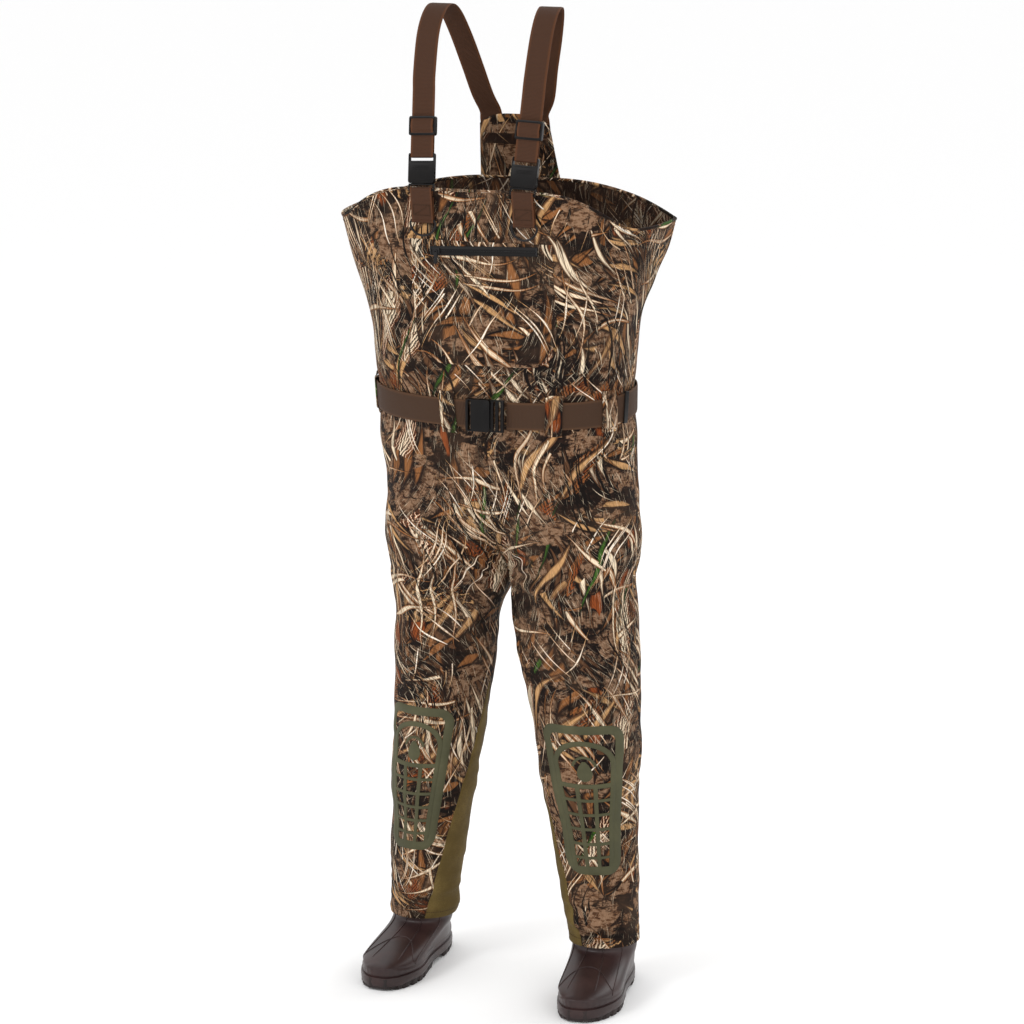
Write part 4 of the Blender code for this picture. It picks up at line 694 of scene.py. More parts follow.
def torso_panel(name, first, last, look, node):
    rows, columns = 110, 120
    shares = np.linspace(first, last, columns)
    if first == 0.0:
        share = np.concatenate([shares[::-1], shares[1:]])
        sign = np.concatenate([-np.ones(columns), np.ones(columns - 1)])
    else:
        share = np.concatenate([shares, shares[-2::-1]])
        sign = np.concatenate([np.ones(columns), -np.ones(columns - 1)])
    up = np.linspace(0, 1, rows)[:, None]
    z = SPLIT_Z + (rim_z(share)[None] - SPLIT_Z) * up
    share, sign = np.broadcast_to(share, z.shape), np.broadcast_to(sign, z.shape)
    edge = np.minimum(np.abs(share - 0.5) * 1.35, z - SPLIT_Z + 0.02)
    sink = SEAM_SINK * hump(edge, SEAM_REACH)
    uv = np.stack([round_length(sign, share, z, columns - 1), z], -1)
    back = "lining" if first == 0.0 else "inside"
    made = shell_sheet(name, sign, share, z, uv, (look, back), sink)
    settle(made, "shell", "camo_fabric", node)


def gusset_share(z):
    up = np.clip((z - HEM_Z) / (GUSSET_TOP_Z - HEM_Z), 0, 1)
    share = GUSSET_HEM_SHARE + (GUSSET_TIP_SHARE - GUSSET_HEM_SHARE) * up
    return np.where(z < GUSSET_TOP_Z, share, 0.0)


def leg_panel(sign, front):
    side = NAMES[sign]
    z = np.concatenate([np.linspace(HEM_Z, CROTCH_Z - 0.004, 150),
                        np.linspace(CROTCH_Z - 0.002, SPLIT_Z, 24)])
    t = np.linspace(0, 1, 64)[None]
    z = np.broadcast_to(z[:, None], (len(z), 64))
    reach = gusset_share(z)
    share = reach + (0.5 - reach) * t if front else 0.5 + (0.5 - reach) * t
    edge = np.minimum(np.minimum(share - reach, 1 - reach - share), np.abs(share - 0.5)) * 0.52
    sink = SEAM_SINK * hump(edge, SEAM_REACH)
    sink = sink + 0.0010 * hump(z - HEM_Z - 0.012, 0.0016)
    part = "front" if front else "back"
    length = round_length(sign, share, z, -1 if front else 0)  # from the outer seam
    seam = np.ptp(length[-1])
    u = sign * (seam + length) if front else sign * (length - seam)
    made = shell_sheet(f"{side}_leg_{part}", sign, share, z, np.stack([u, z], -1),
                       (f"torso_{part}", "lining"), sink)
    keep_to_side(made, sign)
    settle(made, "shell", "camo_fabric", f"{side}_leg_{part}_panel")


def keep_to_side(obj, sign):
    for vertex in obj.data.vertices:
        if vertex.co.x * sign < 0.0002:
            vertex.co.x = sign * 0.0002


def inner_gusset(sign):
    side = NAMES[sign]
    z = np.broadcast_to(np.linspace(HEM_Z, GUSSET_TOP_Z, 110)[:, None], (110, 44))
    reach = gusset_share(z)
    share = reach * np.linspace(-1, 1, 44)[None]
    sink = SEAM_SINK * hump((reach - np.abs(share)) * 0.45, SEAM_REACH)
    sink = sink + 0.0010 * hump(z - HEM_Z - 0.012, 0.0016)
    uv = np.stack([share * 0.52, z], -1)
    made = shell_sheet(f"{side}_gusset", sign, share, z, uv, ("olive", "lining"), sink)
    settle(made, "shell", "olive_fabric", f"{side}_inner_gusset")


for part, first, last in (("front", 0.0, 0.5), ("back", 0.5, 1.0)):
    torso_panel(f"torso_{part}", first, last, f"torso_{part}", f"torso_{part}_panel")
for sign in (1, -1):
    leg_panel(sign, True)
    leg_panel(sign, False)
    inner_gusset(sign)


# ---- Rim and yoke -------------------------------------------------------------------------------
def rim_binding():
    """The folded hem round the top edge."""
    half = np.linspace(0, 1, 160)
    share = np.concatenate([half, half[-2:0:-1]])
    sign = np.concatenate([np.ones(160), -np.ones(158)])
    line = skin(sign, share, rim_z(share) - 0.0010, -0.0016)
    joined("rim_binding", [tube(line, 0.0027, 10, True)], "loops", "shell", "camo_fabric")
    low = rim_z(share) - 0.0105
    row = np.concatenate([skin(sign, share, low, 0.0), skin(sign[:1], share[:1], low[:1], 0.0)])
    out = np.concatenate([shell_normal(sign, share, low)] + [shell_normal(sign[:1], share[:1], low[:1])])
    stitched("rim_stitching", stitches(row, out))


def yoke_y(x, z):
    return back_y(x, BACK_RIM_Z) - YOKE_LEAN * (z - BACK_RIM_Z)


def yoke():
    up, t = np.linspace(0, 1, 44)[:, None], np.linspace(-1, 1, 44)[None]
    x = YOKE_ASIDE + (YOKE_BASE_HALF + (YOKE_TOP_HALF - YOKE_BASE_HALF) * up) * t
    top = YOKE_TOP_Z - YOKE_CORNER * np.abs(t) ** 3
    z = BACK_RIM_Z - 0.010 + (top - BACK_RIM_Z + 0.010) * up
    base = np.stack([x, yoke_y(x, z), z], -1)
    y = base[..., 1] + 0.0012 * wander(base, (22, 22, 22), 6.2)
    edge = np.minimum((1 - np.abs(t)) * 0.060, top - z)
    thick = 0.0012 + 0.0022 * smooth(edge / 0.004) - 0.0006 * hump(edge - 0.009, 0.0015)
    inner = np.stack([x, y - thick, z], -1)
    outer = np.stack([x, y, z], -1)
    made = add_sheet("yoke", outer, inner, np.stack([x, z], -1), ("yoke", "yoke"))
    settle(made, "shell", "camo_fabric", "back_yoke")
    z = np.linspace(YOKE_TOP_Z - 0.052, YOKE_TOP_Z - 0.034, 8)[:, None] + 0 * t
    x = YOKE_ASIDE + 0.056 * t + 0 * z
    y = yoke_y(x, z) - WALL - 0.0002
    band = add_sheet("yoke_band", np.stack([x, y, z], -1), np.stack([x, y - 0.0010, z], -1),
                     np.stack([x, z], -1), ("inside", "inside"))
    settle(band, "shell", "olive_fabric", "yoke_tape")
    t = np.linspace(-0.94, 0.94, 60)
    parts = []
    for height in (YOKE_TOP_Z - 0.0505, YOKE_TOP_Z - 0.0355):
        x = YOKE_ASIDE + 0.056 * t
        line = np.stack([x, yoke_y(x, height) - WALL - 0.0012, height + 0 * t], -1)
        parts += stitches(line, (0, -1, 0))
    stitched("yoke_stitching", parts)


# ---- Webbing ------------------------------------------------------------------------------------
def ribbon(line, across, width, thick):
    """Webbing along a line, as a part: u runs across it and v along it."""
    line, across = np.asarray(line, float), np.broadcast_to(across, np.shape(line)).astype(float)
    along = np.gradient(line, axis=0)
    along /= np.linalg.norm(along, axis=1)[:, None]
    across = across - (across * along).sum(1)[:, None] * along
    across /= np.linalg.norm(across, axis=1)[:, None]
    normal = np.cross(across, along)
    a = np.concatenate([np.linspace(-0.5, 0.5, 9), np.linspace(0.5, -0.5, 9)])
    a = np.sign(a) * (0.5 - (0.5 - np.abs(a)) ** 1.25 * 0.5 ** -0.25) * width
    n = np.concatenate([np.ones(9), -np.ones(9)]) * thick / 2
    n[[0, 8, 9, 17]] *= 0.45
    points = line[:, None] + a[None, :, None] * across[:, None] + n[None, :, None] * normal[:, None]
    return sweep(points, np.stack([np.tile(a, len(line)), np.repeat(run_along(line), len(a))], -1))


def buckle_frame(sign):
    """Local X across the strap, Y into the chest, Z up the strap, from the socket's mouth."""
    rise = Vector((sign * STRAP_RISE[0], STRAP_RISE[1], STRAP_RISE[2])).normalized()
    into = rise.cross(Vector((1, 0, 0))).normalized()
    turn = Matrix((into.cross(rise).normalized(), into, rise)).transposed().to_4x4()
    y = float(front_y(BUCKLE_X, BUCKLE_Z)) - BUCKLE_STAND
    turn.translation = (sign * BUCKLE_X, y, BUCKLE_Z)
    return turn


def in_frame(matrix, points):
    points = np.asarray(points, float)
    turn = np.array(matrix.to_3x3())
    return points @ turn.T + np.array(matrix.translation)


SOCKET_BAR_V, LOOP_OFFSET, LOOP_END_V, CLIP_BAR_V = 0.0430, 0.0028, 0.0960, -0.0106


def strap_loop(sign):
    """Doubled webbing from the adjuster round the socket's bar and back."""
    side, matrix = NAMES[sign], buckle_frame(sign)
    down = np.linspace(LOOP_END_V, SOCKET_BAR_V, 16)
    turns = np.linspace(0, np.pi, 13)[1:-1]
    path = [(0, LOOP_OFFSET, v) for v in down]
    path += [(0, LOOP_OFFSET * math.cos(t), SOCKET_BAR_V - 0.0014 * math.sin(t)) for t in turns]
    path += [(0, -LOOP_OFFSET, v) for v in down[::-1]]
    part = ribbon(in_frame(matrix, path), matrix.col[0][:3], WEB_WIDTH, WEB_THICK)
    joined(f"{side}_loop_webbing", [part], "webbing", f"{side}_strap_end", "webbing",
           f"{side}_strap_loop")


def strap_line(sign):
    matrix = buckle_frame(sign)
    heights = (STRAP_END_V, STRAIGHT_END_V - 0.03, STRAIGHT_END_V)
    straight = in_frame(matrix, [(0, 0, v) for v in heights])
    over = [(sign * x + STRAPS_ASIDE, y + SHIFT_Y, z) for x, y, z in SHOULDER_ROUTE]
    down = []
    for z in (YOKE_TOP_Z + 0.004, YOKE_TOP_Z - 0.014, YOKE_TOP_Z - STRAP_TAIL):
        x = YOKE_ASIDE + sign * STRAP_YOKE_X
        stand = 0.0003 + WEB_THICK / 2 + (0.0022 if z > YOKE_TOP_Z else 0.0012)
        down.append((x, float(yoke_y(x, z)) + stand, z))
    curve = curve_through(list(straight[1:]) + over + down, 12)
    start = np.linspace(straight[0], straight[1], 14, endpoint=False)
    return np.concatenate([start, curve])


def shoulder_strap(sign):
    side = NAMES[sign]
    line = strap_line(sign)
    part = ribbon(line, (1, 0, 0), WEB_WIDTH, WEB_THICK)
    joined(f"{side}_strap", [part], "webbing", "shell", "webbing", f"{side}_shoulder_strap")
    x = YOKE_ASIDE + sign * STRAP_YOKE_X
    low, high = YOKE_TOP_Z - STRAP_TAIL + 0.004, YOKE_TOP_Z - 0.018
    line = [(x + a, float(yoke_y(x + a, z)) + 0.0034, z) for a, z in crossed_box(0.015, low, high)]
    stitched(f"{side}_strap_stitching", stitches(boxed(line), (0, 1, 0)), "webbing")


def chest_tab(sign):
    """Webbing sewn to the chest, folded round the ring below and the clip's bar above."""
    side, matrix = NAMES[sign], buckle_frame(sign)
    ring_y = float(front_y(BUCKLE_X, RING_Z)) - RING_STAND
    bar = in_frame(matrix, [(0, 0, CLIP_BAR_V)])[0]
    low, high = 0.0033, 0.0039
    chest = float(front_y(BUCKLE_X, RING_Z + 0.012)) - 0.0022
    rim = float(front_y(BUCKLE_X, FRONT_RIM_Z)) - 0.0026
    path = [(rim, FRONT_RIM_Z - 0.014), (chest, RING_Z + 0.012)]
    path += [(ring_y + low * math.cos(t), RING_Z - low * math.sin(t))
             for t in np.linspace(0.1, np.pi, 10)]
    path += [(ring_y - low, RING_Z + 0.006)]
    path += [(bar[1] + high * math.cos(t), bar[2] + high * math.sin(t))
             for t in np.linspace(np.pi, 0.0, 10)]
    path += [(bar[1] + high - 0.0006, bar[2] - 0.010)]
    path = np.array(path)
    line = np.stack([np.full(len(path), sign * BUCKLE_X), path[:, 0], path[:, 1]], -1)
    line = curve_through(line, 3)
    up = np.clip((line[:, 2] - RING_Z) / (bar[2] - RING_Z), 0, 1)[:, None]
    across = np.array(matrix.col[0][:3])
    across = np.array((1, 0, 0)) * (1 - up) + across / across[0] * up
    part = ribbon(line, across, 0.036, WEB_THICK)
    joined(f"{side}_tab", [part], "webbing", "shell", "webbing", f"{side}_chest_tab")
    slope = (bar[1] - high - ring_y + low) / (bar[2] - RING_Z)
    line = [(sign * BUCKLE_X + a, ring_y - low + slope * (z - RING_Z) - 0.0010, z)
            for a, z in crossed_box(0.014, RING_Z + 0.009, RING_Z + 0.026)]
    stitched(f"{side}_tab_stitching", stitches(boxed(line), (0, -1, 0)), "webbing")


def adjuster_wrap(sign):
    """The strap where it runs over the adjuster's middle bar."""
    side, matrix = NAMES[sign], buckle_frame(sign)
    path = curve_through([(0, -0.0047, 0.0795), (0, -0.0052, 0.0830), (0, -0.0068, 0.0875),
                          (0, -0.0074, 0.0920), (0, -0.0068, 0.0965), (0, -0.0052, 0.1010),
                          (0, -0.0047, 0.1045)], 4)
    part = ribbon(in_frame(matrix, path), matrix.col[0][:3], WEB_WIDTH - 0.0010, WEB_THICK - 0.0004)
    joined(f"{side}_adjuster_wrap", [part], "webbing", f"{side}_adjuster", "webbing")


def d_ring(sign):
    side = NAMES[sign]
    centre = np.array((sign * BUCKLE_X, float(front_y(BUCKLE_X, RING_Z)) - RING_STAND, RING_Z))
    turns = np.linspace(0, np.pi, 40)
    bow = [(RING_HALF * math.cos(t), 0, -0.004 - (RING_DROP - 0.004) * math.sin(t)) for t in turns]
    corner = RING_HALF - 0.0030
    bar = [(x, 0, 0) for x in np.linspace(-corner, corner, 14)]
    wire = tube(centre + np.array(bow + bar), RING_WIRE + 0.0004, 14, True, (0, 1.0, 0))
    joined(f"{side}_ring_wire", [wire], "ring", f"{side}_ring", "ring_steel", f"{side}_d_ring")


# ---- Hardware -----------------------------------------------------------------------------------
def refined(node, look, slot, body, width=0.0005):
    """A copy of a CAD piece with clean faces and rounded edges."""
    work = bmesh.new()
    work.from_mesh(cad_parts[node].data)
    bmesh.ops.remove_doubles(work, verts=work.verts, dist=1e-6)
    bmesh.ops.dissolve_limit(work, angle_limit=math.radians(1.5), verts=work.verts, edges=work.edges)
    mesh = bpy.data.meshes.new(f"{node}_shown")
    work.to_mesh(mesh)
    work.free()
    mesh.materials.append(LOOKS[look])
    mesh.shade_smooth()
    obj = bpy.data.objects.new(f"{node}_shown", mesh)
    bpy.context.scene.collection.objects.link(obj)
    bevel = obj.modifiers.new("round", "BEVEL")
    bevel.width, bevel.segments, bevel.limit_method = width, 2, "ANGLE"
    bevel.angle_limit = math.radians(35)
    bevel.harden_normals = True
    settle(obj, body, slot, node)


def rod(matrix, start, end, radius):
    """A short round bar with rounded ends, in a frame."""
    line = in_frame(matrix, np.linspace(start, end, 6))
    swell = radius * np.array([0.4, 1, 1, 1, 1, 0.4])
    return tube(line, swell)


def shoulder_hardware(sign):
    side, matrix = NAMES[sign], buckle_frame(sign)
    for piece in ("buckle_clip", "clip_arm_inner", "clip_arm_outer"):
        refined(f"{side}_{piece}", "plastic", "buckle_plastic", "shell", 0.0004)
    refined(f"{side}_buckle_socket", "plastic", "buckle_plastic", f"{side}_strap_end", 0.0007)
    refined(f"{side}_strap_adjuster", "plastic", "buckle_plastic", f"{side}_adjuster", 0.0007)
    ribs = [rod(matrix, (-half, -0.0050, v), (half, -0.0050, v), radius)
            for half, radius, heights in ((0.0150, 0.0006, (0.0225, 0.0250, 0.0275)),
                                          (0.0165, 0.0005, (0.0030, 0.0330))) for v in heights]
    joined(f"{side}_socket_ribs", ribs, "plastic", f"{side}_strap_end", "buckle_plastic")
    grip = [rod(matrix, (-0.0175, -0.0055, v), (0.0175, -0.0055, v), 0.0006)
            for v in (0.0790, 0.1050)]
    joined(f"{side}_adjuster_ribs", grip, "plastic", f"{side}_adjuster", "buckle_plastic")


# ---- Pocket and zip -----------------------------------------------------------------------------
def pocket_bottom(x):
    middle = (POCKET_LEFT_X + POCKET_RIGHT_X) / 2
    half = (POCKET_LEFT_X - POCKET_RIGHT_X) / 2
    over = np.clip(np.abs(x - middle) - (half - POCKET_CORNER), 0, POCKET_CORNER) / POCKET_CORNER
    return POCKET_BOTTOM_Z + POCKET_CORNER * (1 - np.sqrt(1 - over**2))


def on_chest(x, z, stand):
    """A point in front of the folded chest."""
    base = np.stack(np.broadcast_arrays(x, front_y(x, z), z), -1)
    base[..., 1] -= stand + folds(base)
    return base


def pocket():
    x = np.linspace(POCKET_RIGHT_X, POCKET_LEFT_X, 90)[None]
    low = pocket_bottom(x)
    z = low + (POCKET_TOP_Z - low) * np.linspace(0, 1, 80)[:, None]
    x = np.broadcast_to(x, z.shape)
    edge = np.minimum(np.minimum(x - POCKET_RIGHT_X, POCKET_LEFT_X - x),
                      np.minimum(POCKET_TOP_Z - z, z - low))
    stand = 0.0008 + 0.0026 * smooth(edge / 0.0045) - 0.0008 * hump(edge - 0.0075, 0.0016)
    outer = on_chest(x, z, stand)
    inner = on_chest(x, z, 0.0003)
    made = add_sheet("pocket", outer, inner, np.stack([x, z], -1), ("pocket",))
    settle(made, "shell", "camo_fabric", "chest_pocket")
    inset = 0.0075
    xs = np.linspace(POCKET_RIGHT_X + inset, POCKET_LEFT_X - inset, 120)
    bottom = np.stack([xs, pocket_bottom(xs) + inset], -1)
    left = np.stack([np.full(60, xs[-1]), np.linspace(bottom[-1, 1], POCKET_TOP_Z - inset, 60)], -1)
    right = np.stack([np.full(60, xs[0]), np.linspace(POCKET_TOP_Z - inset, bottom[0, 1], 60)], -1)
    path = np.concatenate([right, bottom, left])
    line = on_chest(path[:, 0], path[:, 1], 0.0027)
    stitched("pocket_stitching", stitches(line, (0, -1, 0)))


def zip_frame():
    low = min(float(front_y(x, ZIP_Z)) for x in (0.0, ZIP_END_X, ZIP_START_X))
    turn = Matrix.Rotation(-ZIP_TILT, 4, "Y")
    return Matrix.Translation((ZIP_START_X, low - 0.0048, ZIP_Z)) @ turn


def chest_zip():
    matrix, length = zip_frame(), ZIP_END_X - ZIP_START_X
    profile = [(-0.0075, 0.0002), (-0.0066, 0.0008), (-0.0048, 0.0010), (-0.0040, 0.0016),
               (-0.0024, 0.0019), (-0.0010, 0.0017), (-0.0006, 0.0006)]
    profile += [(-z, d) for z, d in profile[::-1]]
    x = np.linspace(0, length, 40)
    outer = np.array([[(a, -d, z) for z, d in profile] for a in x])
    inner = np.array([[(a, 0.0012, z) for z, d in profile] for a in x])
    uv = np.array([[(z, a) for z, d in profile] for a in x])
    made = add_sheet("zip_lips", in_frame(matrix, outer), in_frame(matrix, inner), uv, ("zip",))
    settle(made, "shell", "zip_tape", "pocket_zip_tape")
    teeth = [rod(matrix, (a, -0.0008 - 0.0003 * (k % 2), -0.0016), (a + 0.0006, -0.0008, 0.0016), 0.0006)
             for k, a in enumerate(np.arange(0.005, length - 0.005, 0.0017))]
    for end in (0.0016, length - 0.0016):
        teeth += [rod(matrix, (end, -0.0016, -0.0060), (end, -0.0016, 0.0060), 0.0012)]
    joined("zip_coil", teeth, "teeth", "shell", "zip_teeth", "pocket_zip_teeth")
    refined("pocket_zip_slider_body", "slider", "slider_metal", "zip_slider", 0.0005)
    refined("pocket_zip_pull", "slider", "slider_metal", "zip_pull", 0.0003)


# ---- Belt ---------------------------------------------------------------------------------------
def belt():
    ladder = BELT_SOCKET_X + BELT_SOCKET_LENGTH + BELT_LADDER + 0.002
    first = float(share_at_x(ladder, BELT_FRONT_Z))
    last = float(share_at_x(BELT_SOCKET_X - 0.002, BELT_FRONT_Z))
    share = np.concatenate([np.linspace(first, 1, 150), np.linspace(1, last, 150)[1:]])
    sign = np.concatenate([np.ones(150), -np.ones(149)])
    offset = np.linspace(-BELT_HEIGHT / 2, BELT_HEIGHT / 2, 13)[:, None]
    z = belt_z(share)[None] + offset
    share, sign = np.broadcast_to(share, z.shape), np.broadcast_to(sign, z.shape)
    base, out = shell_point(sign, share, z), shell_normal(sign, share, z)
    edge = np.abs(offset) > BELT_HEIGHT / 2 - 0.0015
    high = np.where(edge, BELT_STAND + BELT_THICK * 0.70, BELT_STAND + BELT_THICK)[..., None]
    run = np.where(sign > 0, share, 2 - share) * 0.70
    uv = np.stack([offset + 0 * share, run], -1)
    made = add_sheet("belt_strap", base + high * out, base + BELT_STAND * out, uv, ("belt",))
    settle(made, "shell", "webbing", "belt_webbing")


def belt_loop(name, sign, middle):
    half, foot = BELT_LOOP_HEIGHT / 2, BELT_HEIGHT / 2 + 0.0055
    girth = np.linalg.norm(shell_point(sign, middle + 0.01, WAIST_Z)
                           - shell_point(sign, middle - 0.01, WAIST_Z))
    reach = BELT_LOOP_WIDTH / 2 / (girth / 0.02)
    height = np.linspace(-half, half, 45)[:, None]
    share = middle + reach * np.linspace(-1, 1, 15)[None]
    z = belt_z(middle) + height + 0 * share
    share = np.broadcast_to(share, z.shape)
    base, out = shell_point(sign, share, z), shell_normal(sign, share, z)
    over = smooth((foot - np.abs(height)) / 0.0040)
    sewn = 0.0010 + np.maximum(folds(base), 0)
    stand = sewn * (1 - over) + (BELT_STAND + BELT_THICK + 0.0010) * over
    edge = np.minimum((1 - np.abs(np.linspace(-1, 1, 15)[None])) * BELT_LOOP_WIDTH / 2,
                      half - np.abs(height))
    thick = 0.0006 + 0.0010 * smooth(edge / 0.0018) - 0.0004 * hump(edge - 0.0035, 0.0010)
    uv = np.stack([share * 0.7 * sign + sign * 0.3, z], -1)
    outer, inner = base + (stand + thick)[..., None] * out, base + stand[..., None] * out
    made = add_sheet(f"loop_{name}", outer, inner, uv, ("loops",))
    settle(made, "shell", "camo_loop", f"belt_loop_{name}")
    parts = []
    for end in (-1, 1):
        row = end * (half - 0.0045)
        s = middle + reach * np.linspace(-0.8, 0.8, 12)
        zz = np.full(12, float(belt_z(middle)) + row)
        ground = shell_point(sign, s, zz)
        line = ground + (0.0026 + np.maximum(folds(ground), 0))[:, None] * shell_normal(sign, s, zz)
        parts += stitches(line, shell_normal(sign, s, zz), 0.0022, 0.0016)
    stitched(f"loop_{name}_bartack", parts, "camo_loop")


def belt_hardware():
    refined("belt_buckle_socket", "plastic", "buckle_plastic", "shell", 0.0008)
    for piece in ("belt_buckle_clip", "belt_clip_arm_upper", "belt_clip_arm_lower"):
        refined(piece, "plastic", "buckle_plastic", "belt_clip", 0.0005)
    refined("belt_keeper", "plastic", "buckle_plastic", "belt_keeper_body", 0.0004)
    low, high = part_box("belt_buckle_socket")
    place = Matrix.Translation(((low.x + high.x) / 2, low.y, (low.z + high.z) / 2))
    ribs = [rod(place, (x, 0.0002, -0.0190), (x, 0.0002, 0.0190), 0.0007)
            for x in (-0.0100, -0.0070, 0.0120, 0.0150)]
    joined("belt_socket_ribs", ribs, "plastic", "shell", "buckle_plastic")


# ---- Knee grips ---------------------------------------------------------------------------------
GRIP_GIRTH = 0.50


def grip_band(sign, path, width, closed=False):
    """A raised rubber line on the knee: path is in metres along the girth and up the leg."""
    path = np.asarray(path, float)
    run = np.roll(path, -1, 0) - np.roll(path, 1, 0) if closed else np.gradient(path, axis=0)
    run /= np.linalg.norm(run, axis=1)[:, None]
    aside = np.stack([-run[:, 1], run[:, 0]], -1)
    across = np.array([-1, -0.85, 0, 0.85, 1]) * width / 2
    stand = np.array([0.0003, 0.0011, 0.0013, 0.0011, 0.0003])
    flat = path[:, None] + np.broadcast_to(across, (len(path), 5))[..., None] * aside[:, None]
    if closed:
        flat = np.concatenate([flat, flat[:1]])
    share, z = GRIP_MIDDLE + flat[..., 0] / GRIP_GIRTH, flat[..., 1]
    top = skin(sign, share, z, np.broadcast_to(stand, z.shape))
    low = skin(sign, share[:, ::4], z[:, ::4], -0.0006)
    rows = len(top)
    uvs = np.stack([np.tile(np.arange(7) * 0.001, rows), np.repeat(np.arange(rows) * 0.003, 7)], -1)
    return sweep(np.concatenate([top, low[:, ::-1]], axis=1), uvs)


def rounded_frame(top_half, bottom_half, top_z, bottom_z, radius):
    corners = ((top_half, top_z, 0), (-top_half, top_z, 90), (-bottom_half, bottom_z, 180),
               (bottom_half, bottom_z, 270))
    path = []
    for x, z, start in corners:
        centre = (x - math.copysign(radius, x), z - math.copysign(radius, z - (top_z + bottom_z) / 2))
        for k in range(9):
            t = math.radians(start + 90 * k / 8)
            path.append((centre[0] + radius * math.cos(t), centre[1] + radius * math.sin(t)))
    path.append(path[0])
    dense = [np.linspace(a, b, max(2, int(math.dist(a, b) / 0.004) + 1), endpoint=False)
             for a, b in zip(path, path[1:])]
    return np.concatenate(dense)


def knee_grip(sign):
    side = NAMES[sign]
    top, bottom = GRIP_TOP_Z - 0.0075, GRIP_BOTTOM_Z + 0.0075
    parts = [grip_band(sign, rounded_frame(0.0590, 0.0470, top, bottom, 0.021), 0.0155, True)]
    turns = np.linspace(0, np.pi, 36)
    spring, rise = GRIP_TOP_Z - 0.072, 0.040
    arch = [(0.047 * math.cos(t), spring + rise * math.sin(t)) for t in turns]
    legs = np.linspace(spring, bottom, 50)[1:]

    def lean(z):
        return 0.047 - 0.013 * (spring - z) / (spring - bottom)

    arch = [(lean(z), z) for z in legs[::-1]] + arch + [(-lean(z), z) for z in legs]
    parts.append(grip_band(sign, arch, 0.0092))
    shelf = GRIP_TOP_Z - 0.108
    for place in (-1, 1):
        line = [(place * (0.0150 - 0.0040 * (shelf - z) / (shelf - bottom)), z)
                for z in np.linspace(shelf, bottom, 40)]
        parts.append(grip_band(sign, line, 0.0075))
    for drop, width in ((0.108, 0.0080), (0.134, 0.0055), (0.160, 0.0055), (0.186, 0.0055),
                        (0.212, 0.0055), (0.236, 0.0050)):
        z = GRIP_TOP_Z - drop
        half = float(lean(z))
        bar = [(u, z + 0.002 * (u / half) ** 2) for u in np.linspace(-half, half, 26)]
        parts.append(grip_band(sign, bar, width))
    over = [(0.019 * math.cos(t), GRIP_TOP_Z - 0.080 + 0.024 * math.sin(t))
            for t in np.linspace(0.35, 2.79, 18)]
    parts.append(grip_band(sign, over, 0.0045))
    drop_shape = [(0.0150 * math.sin(t) * math.sin(t / 2) ** 0.8, GRIP_TOP_Z - 0.080 + 0.0190 * math.cos(t))
                  for t in np.linspace(0.5, np.pi - 0.12, 14)]
    drop_shape = np.array(drop_shape)
    parts.append(grip_band(sign, drop_shape * (0, 1), 2 * drop_shape[:, :1]))
    joined(f"{side}_knee_print", parts, "grip", "shell", "grip_rubber", f"{side}_knee_grip")


# ---- Seam stitching on the legs -----------------------------------------------------------------
def leg_stitching(sign):
    side, parts = NAMES[sign], []
    z = np.linspace(HEM_Z + 0.014, GUSSET_TOP_Z - 0.010, 150)
    for edge in (-1, 1):
        share = edge * (gusset_share(z) + 0.0085)
        share = share if edge > 0 else 1 + share
        parts += stitches(skin(sign, share, z), shell_normal(sign, share, z))
    share = np.linspace(0.0, 1.0, 160)
    z = np.full(160, HEM_Z + 0.012)
    parts += stitches(skin(sign, share, z, -0.0008), shell_normal(sign, share, z))
    stitched(f"{side}_leg_stitching", parts)


# ---- Boots --------------------------------------------------------------------------------------
def boot_frame(sign):
    """Local X outward, Y to the toe and Z up, from the floor under the ankle."""
    x, y = (LEFT_LEG if sign > 0 else RIGHT_LEG)[:2]
    outward = Vector((sign * math.cos(TOE_OUT), math.sin(TOE_OUT), 0))
    forward = Vector((sign * math.sin(TOE_OUT), -math.cos(TOE_OUT), 0))
    matrix = Matrix((outward, forward, Vector((0, 0, 1)))).transposed().to_4x4()
    matrix.translation = (sign * (x + FOOT_ASIDE), y - FOOT_AHEAD + SHIFT_Y, 0)
    return matrix


def foot_outline(share, grow=0.0):
    turn = 2 * np.pi * share - np.pi / 2
    middle, half = (TOE_REACH - HEEL_REACH) / 2, (TOE_REACH + HEEL_REACH) / 2
    ahead = middle + half * signed_power(np.cos(turn), FOOT_END_POWER)
    width = through(FOOT_HALVES, ahead) * signed_power(np.sin(turn), 0.72)
    curve = -0.007 * np.maximum(0.0, ahead / TOE_REACH) ** 2
    size = np.hypot(np.cos(turn) * half, np.sin(turn) * BALL_HALF)
    x = width + curve + grow * signed_power(np.sin(turn), 0.8)
    return np.stack([x, ahead + grow * np.cos(turn) * half / size], -1)


def upper_reach(share, z):
    ahead = (1 + np.sin(2 * np.pi * share)) / 2
    rise = (z - SOLE_THICK) / (COLLAR_Z - SOLE_THICK)
    vamp = 1 - smooth((rise - 0.30) / 0.70) ** 0.80
    heel = (1 - 0.85 * smooth(rise)) * (1 - smooth((rise - 0.6) / 0.4))
    return ahead * vamp + (1 - ahead) * heel


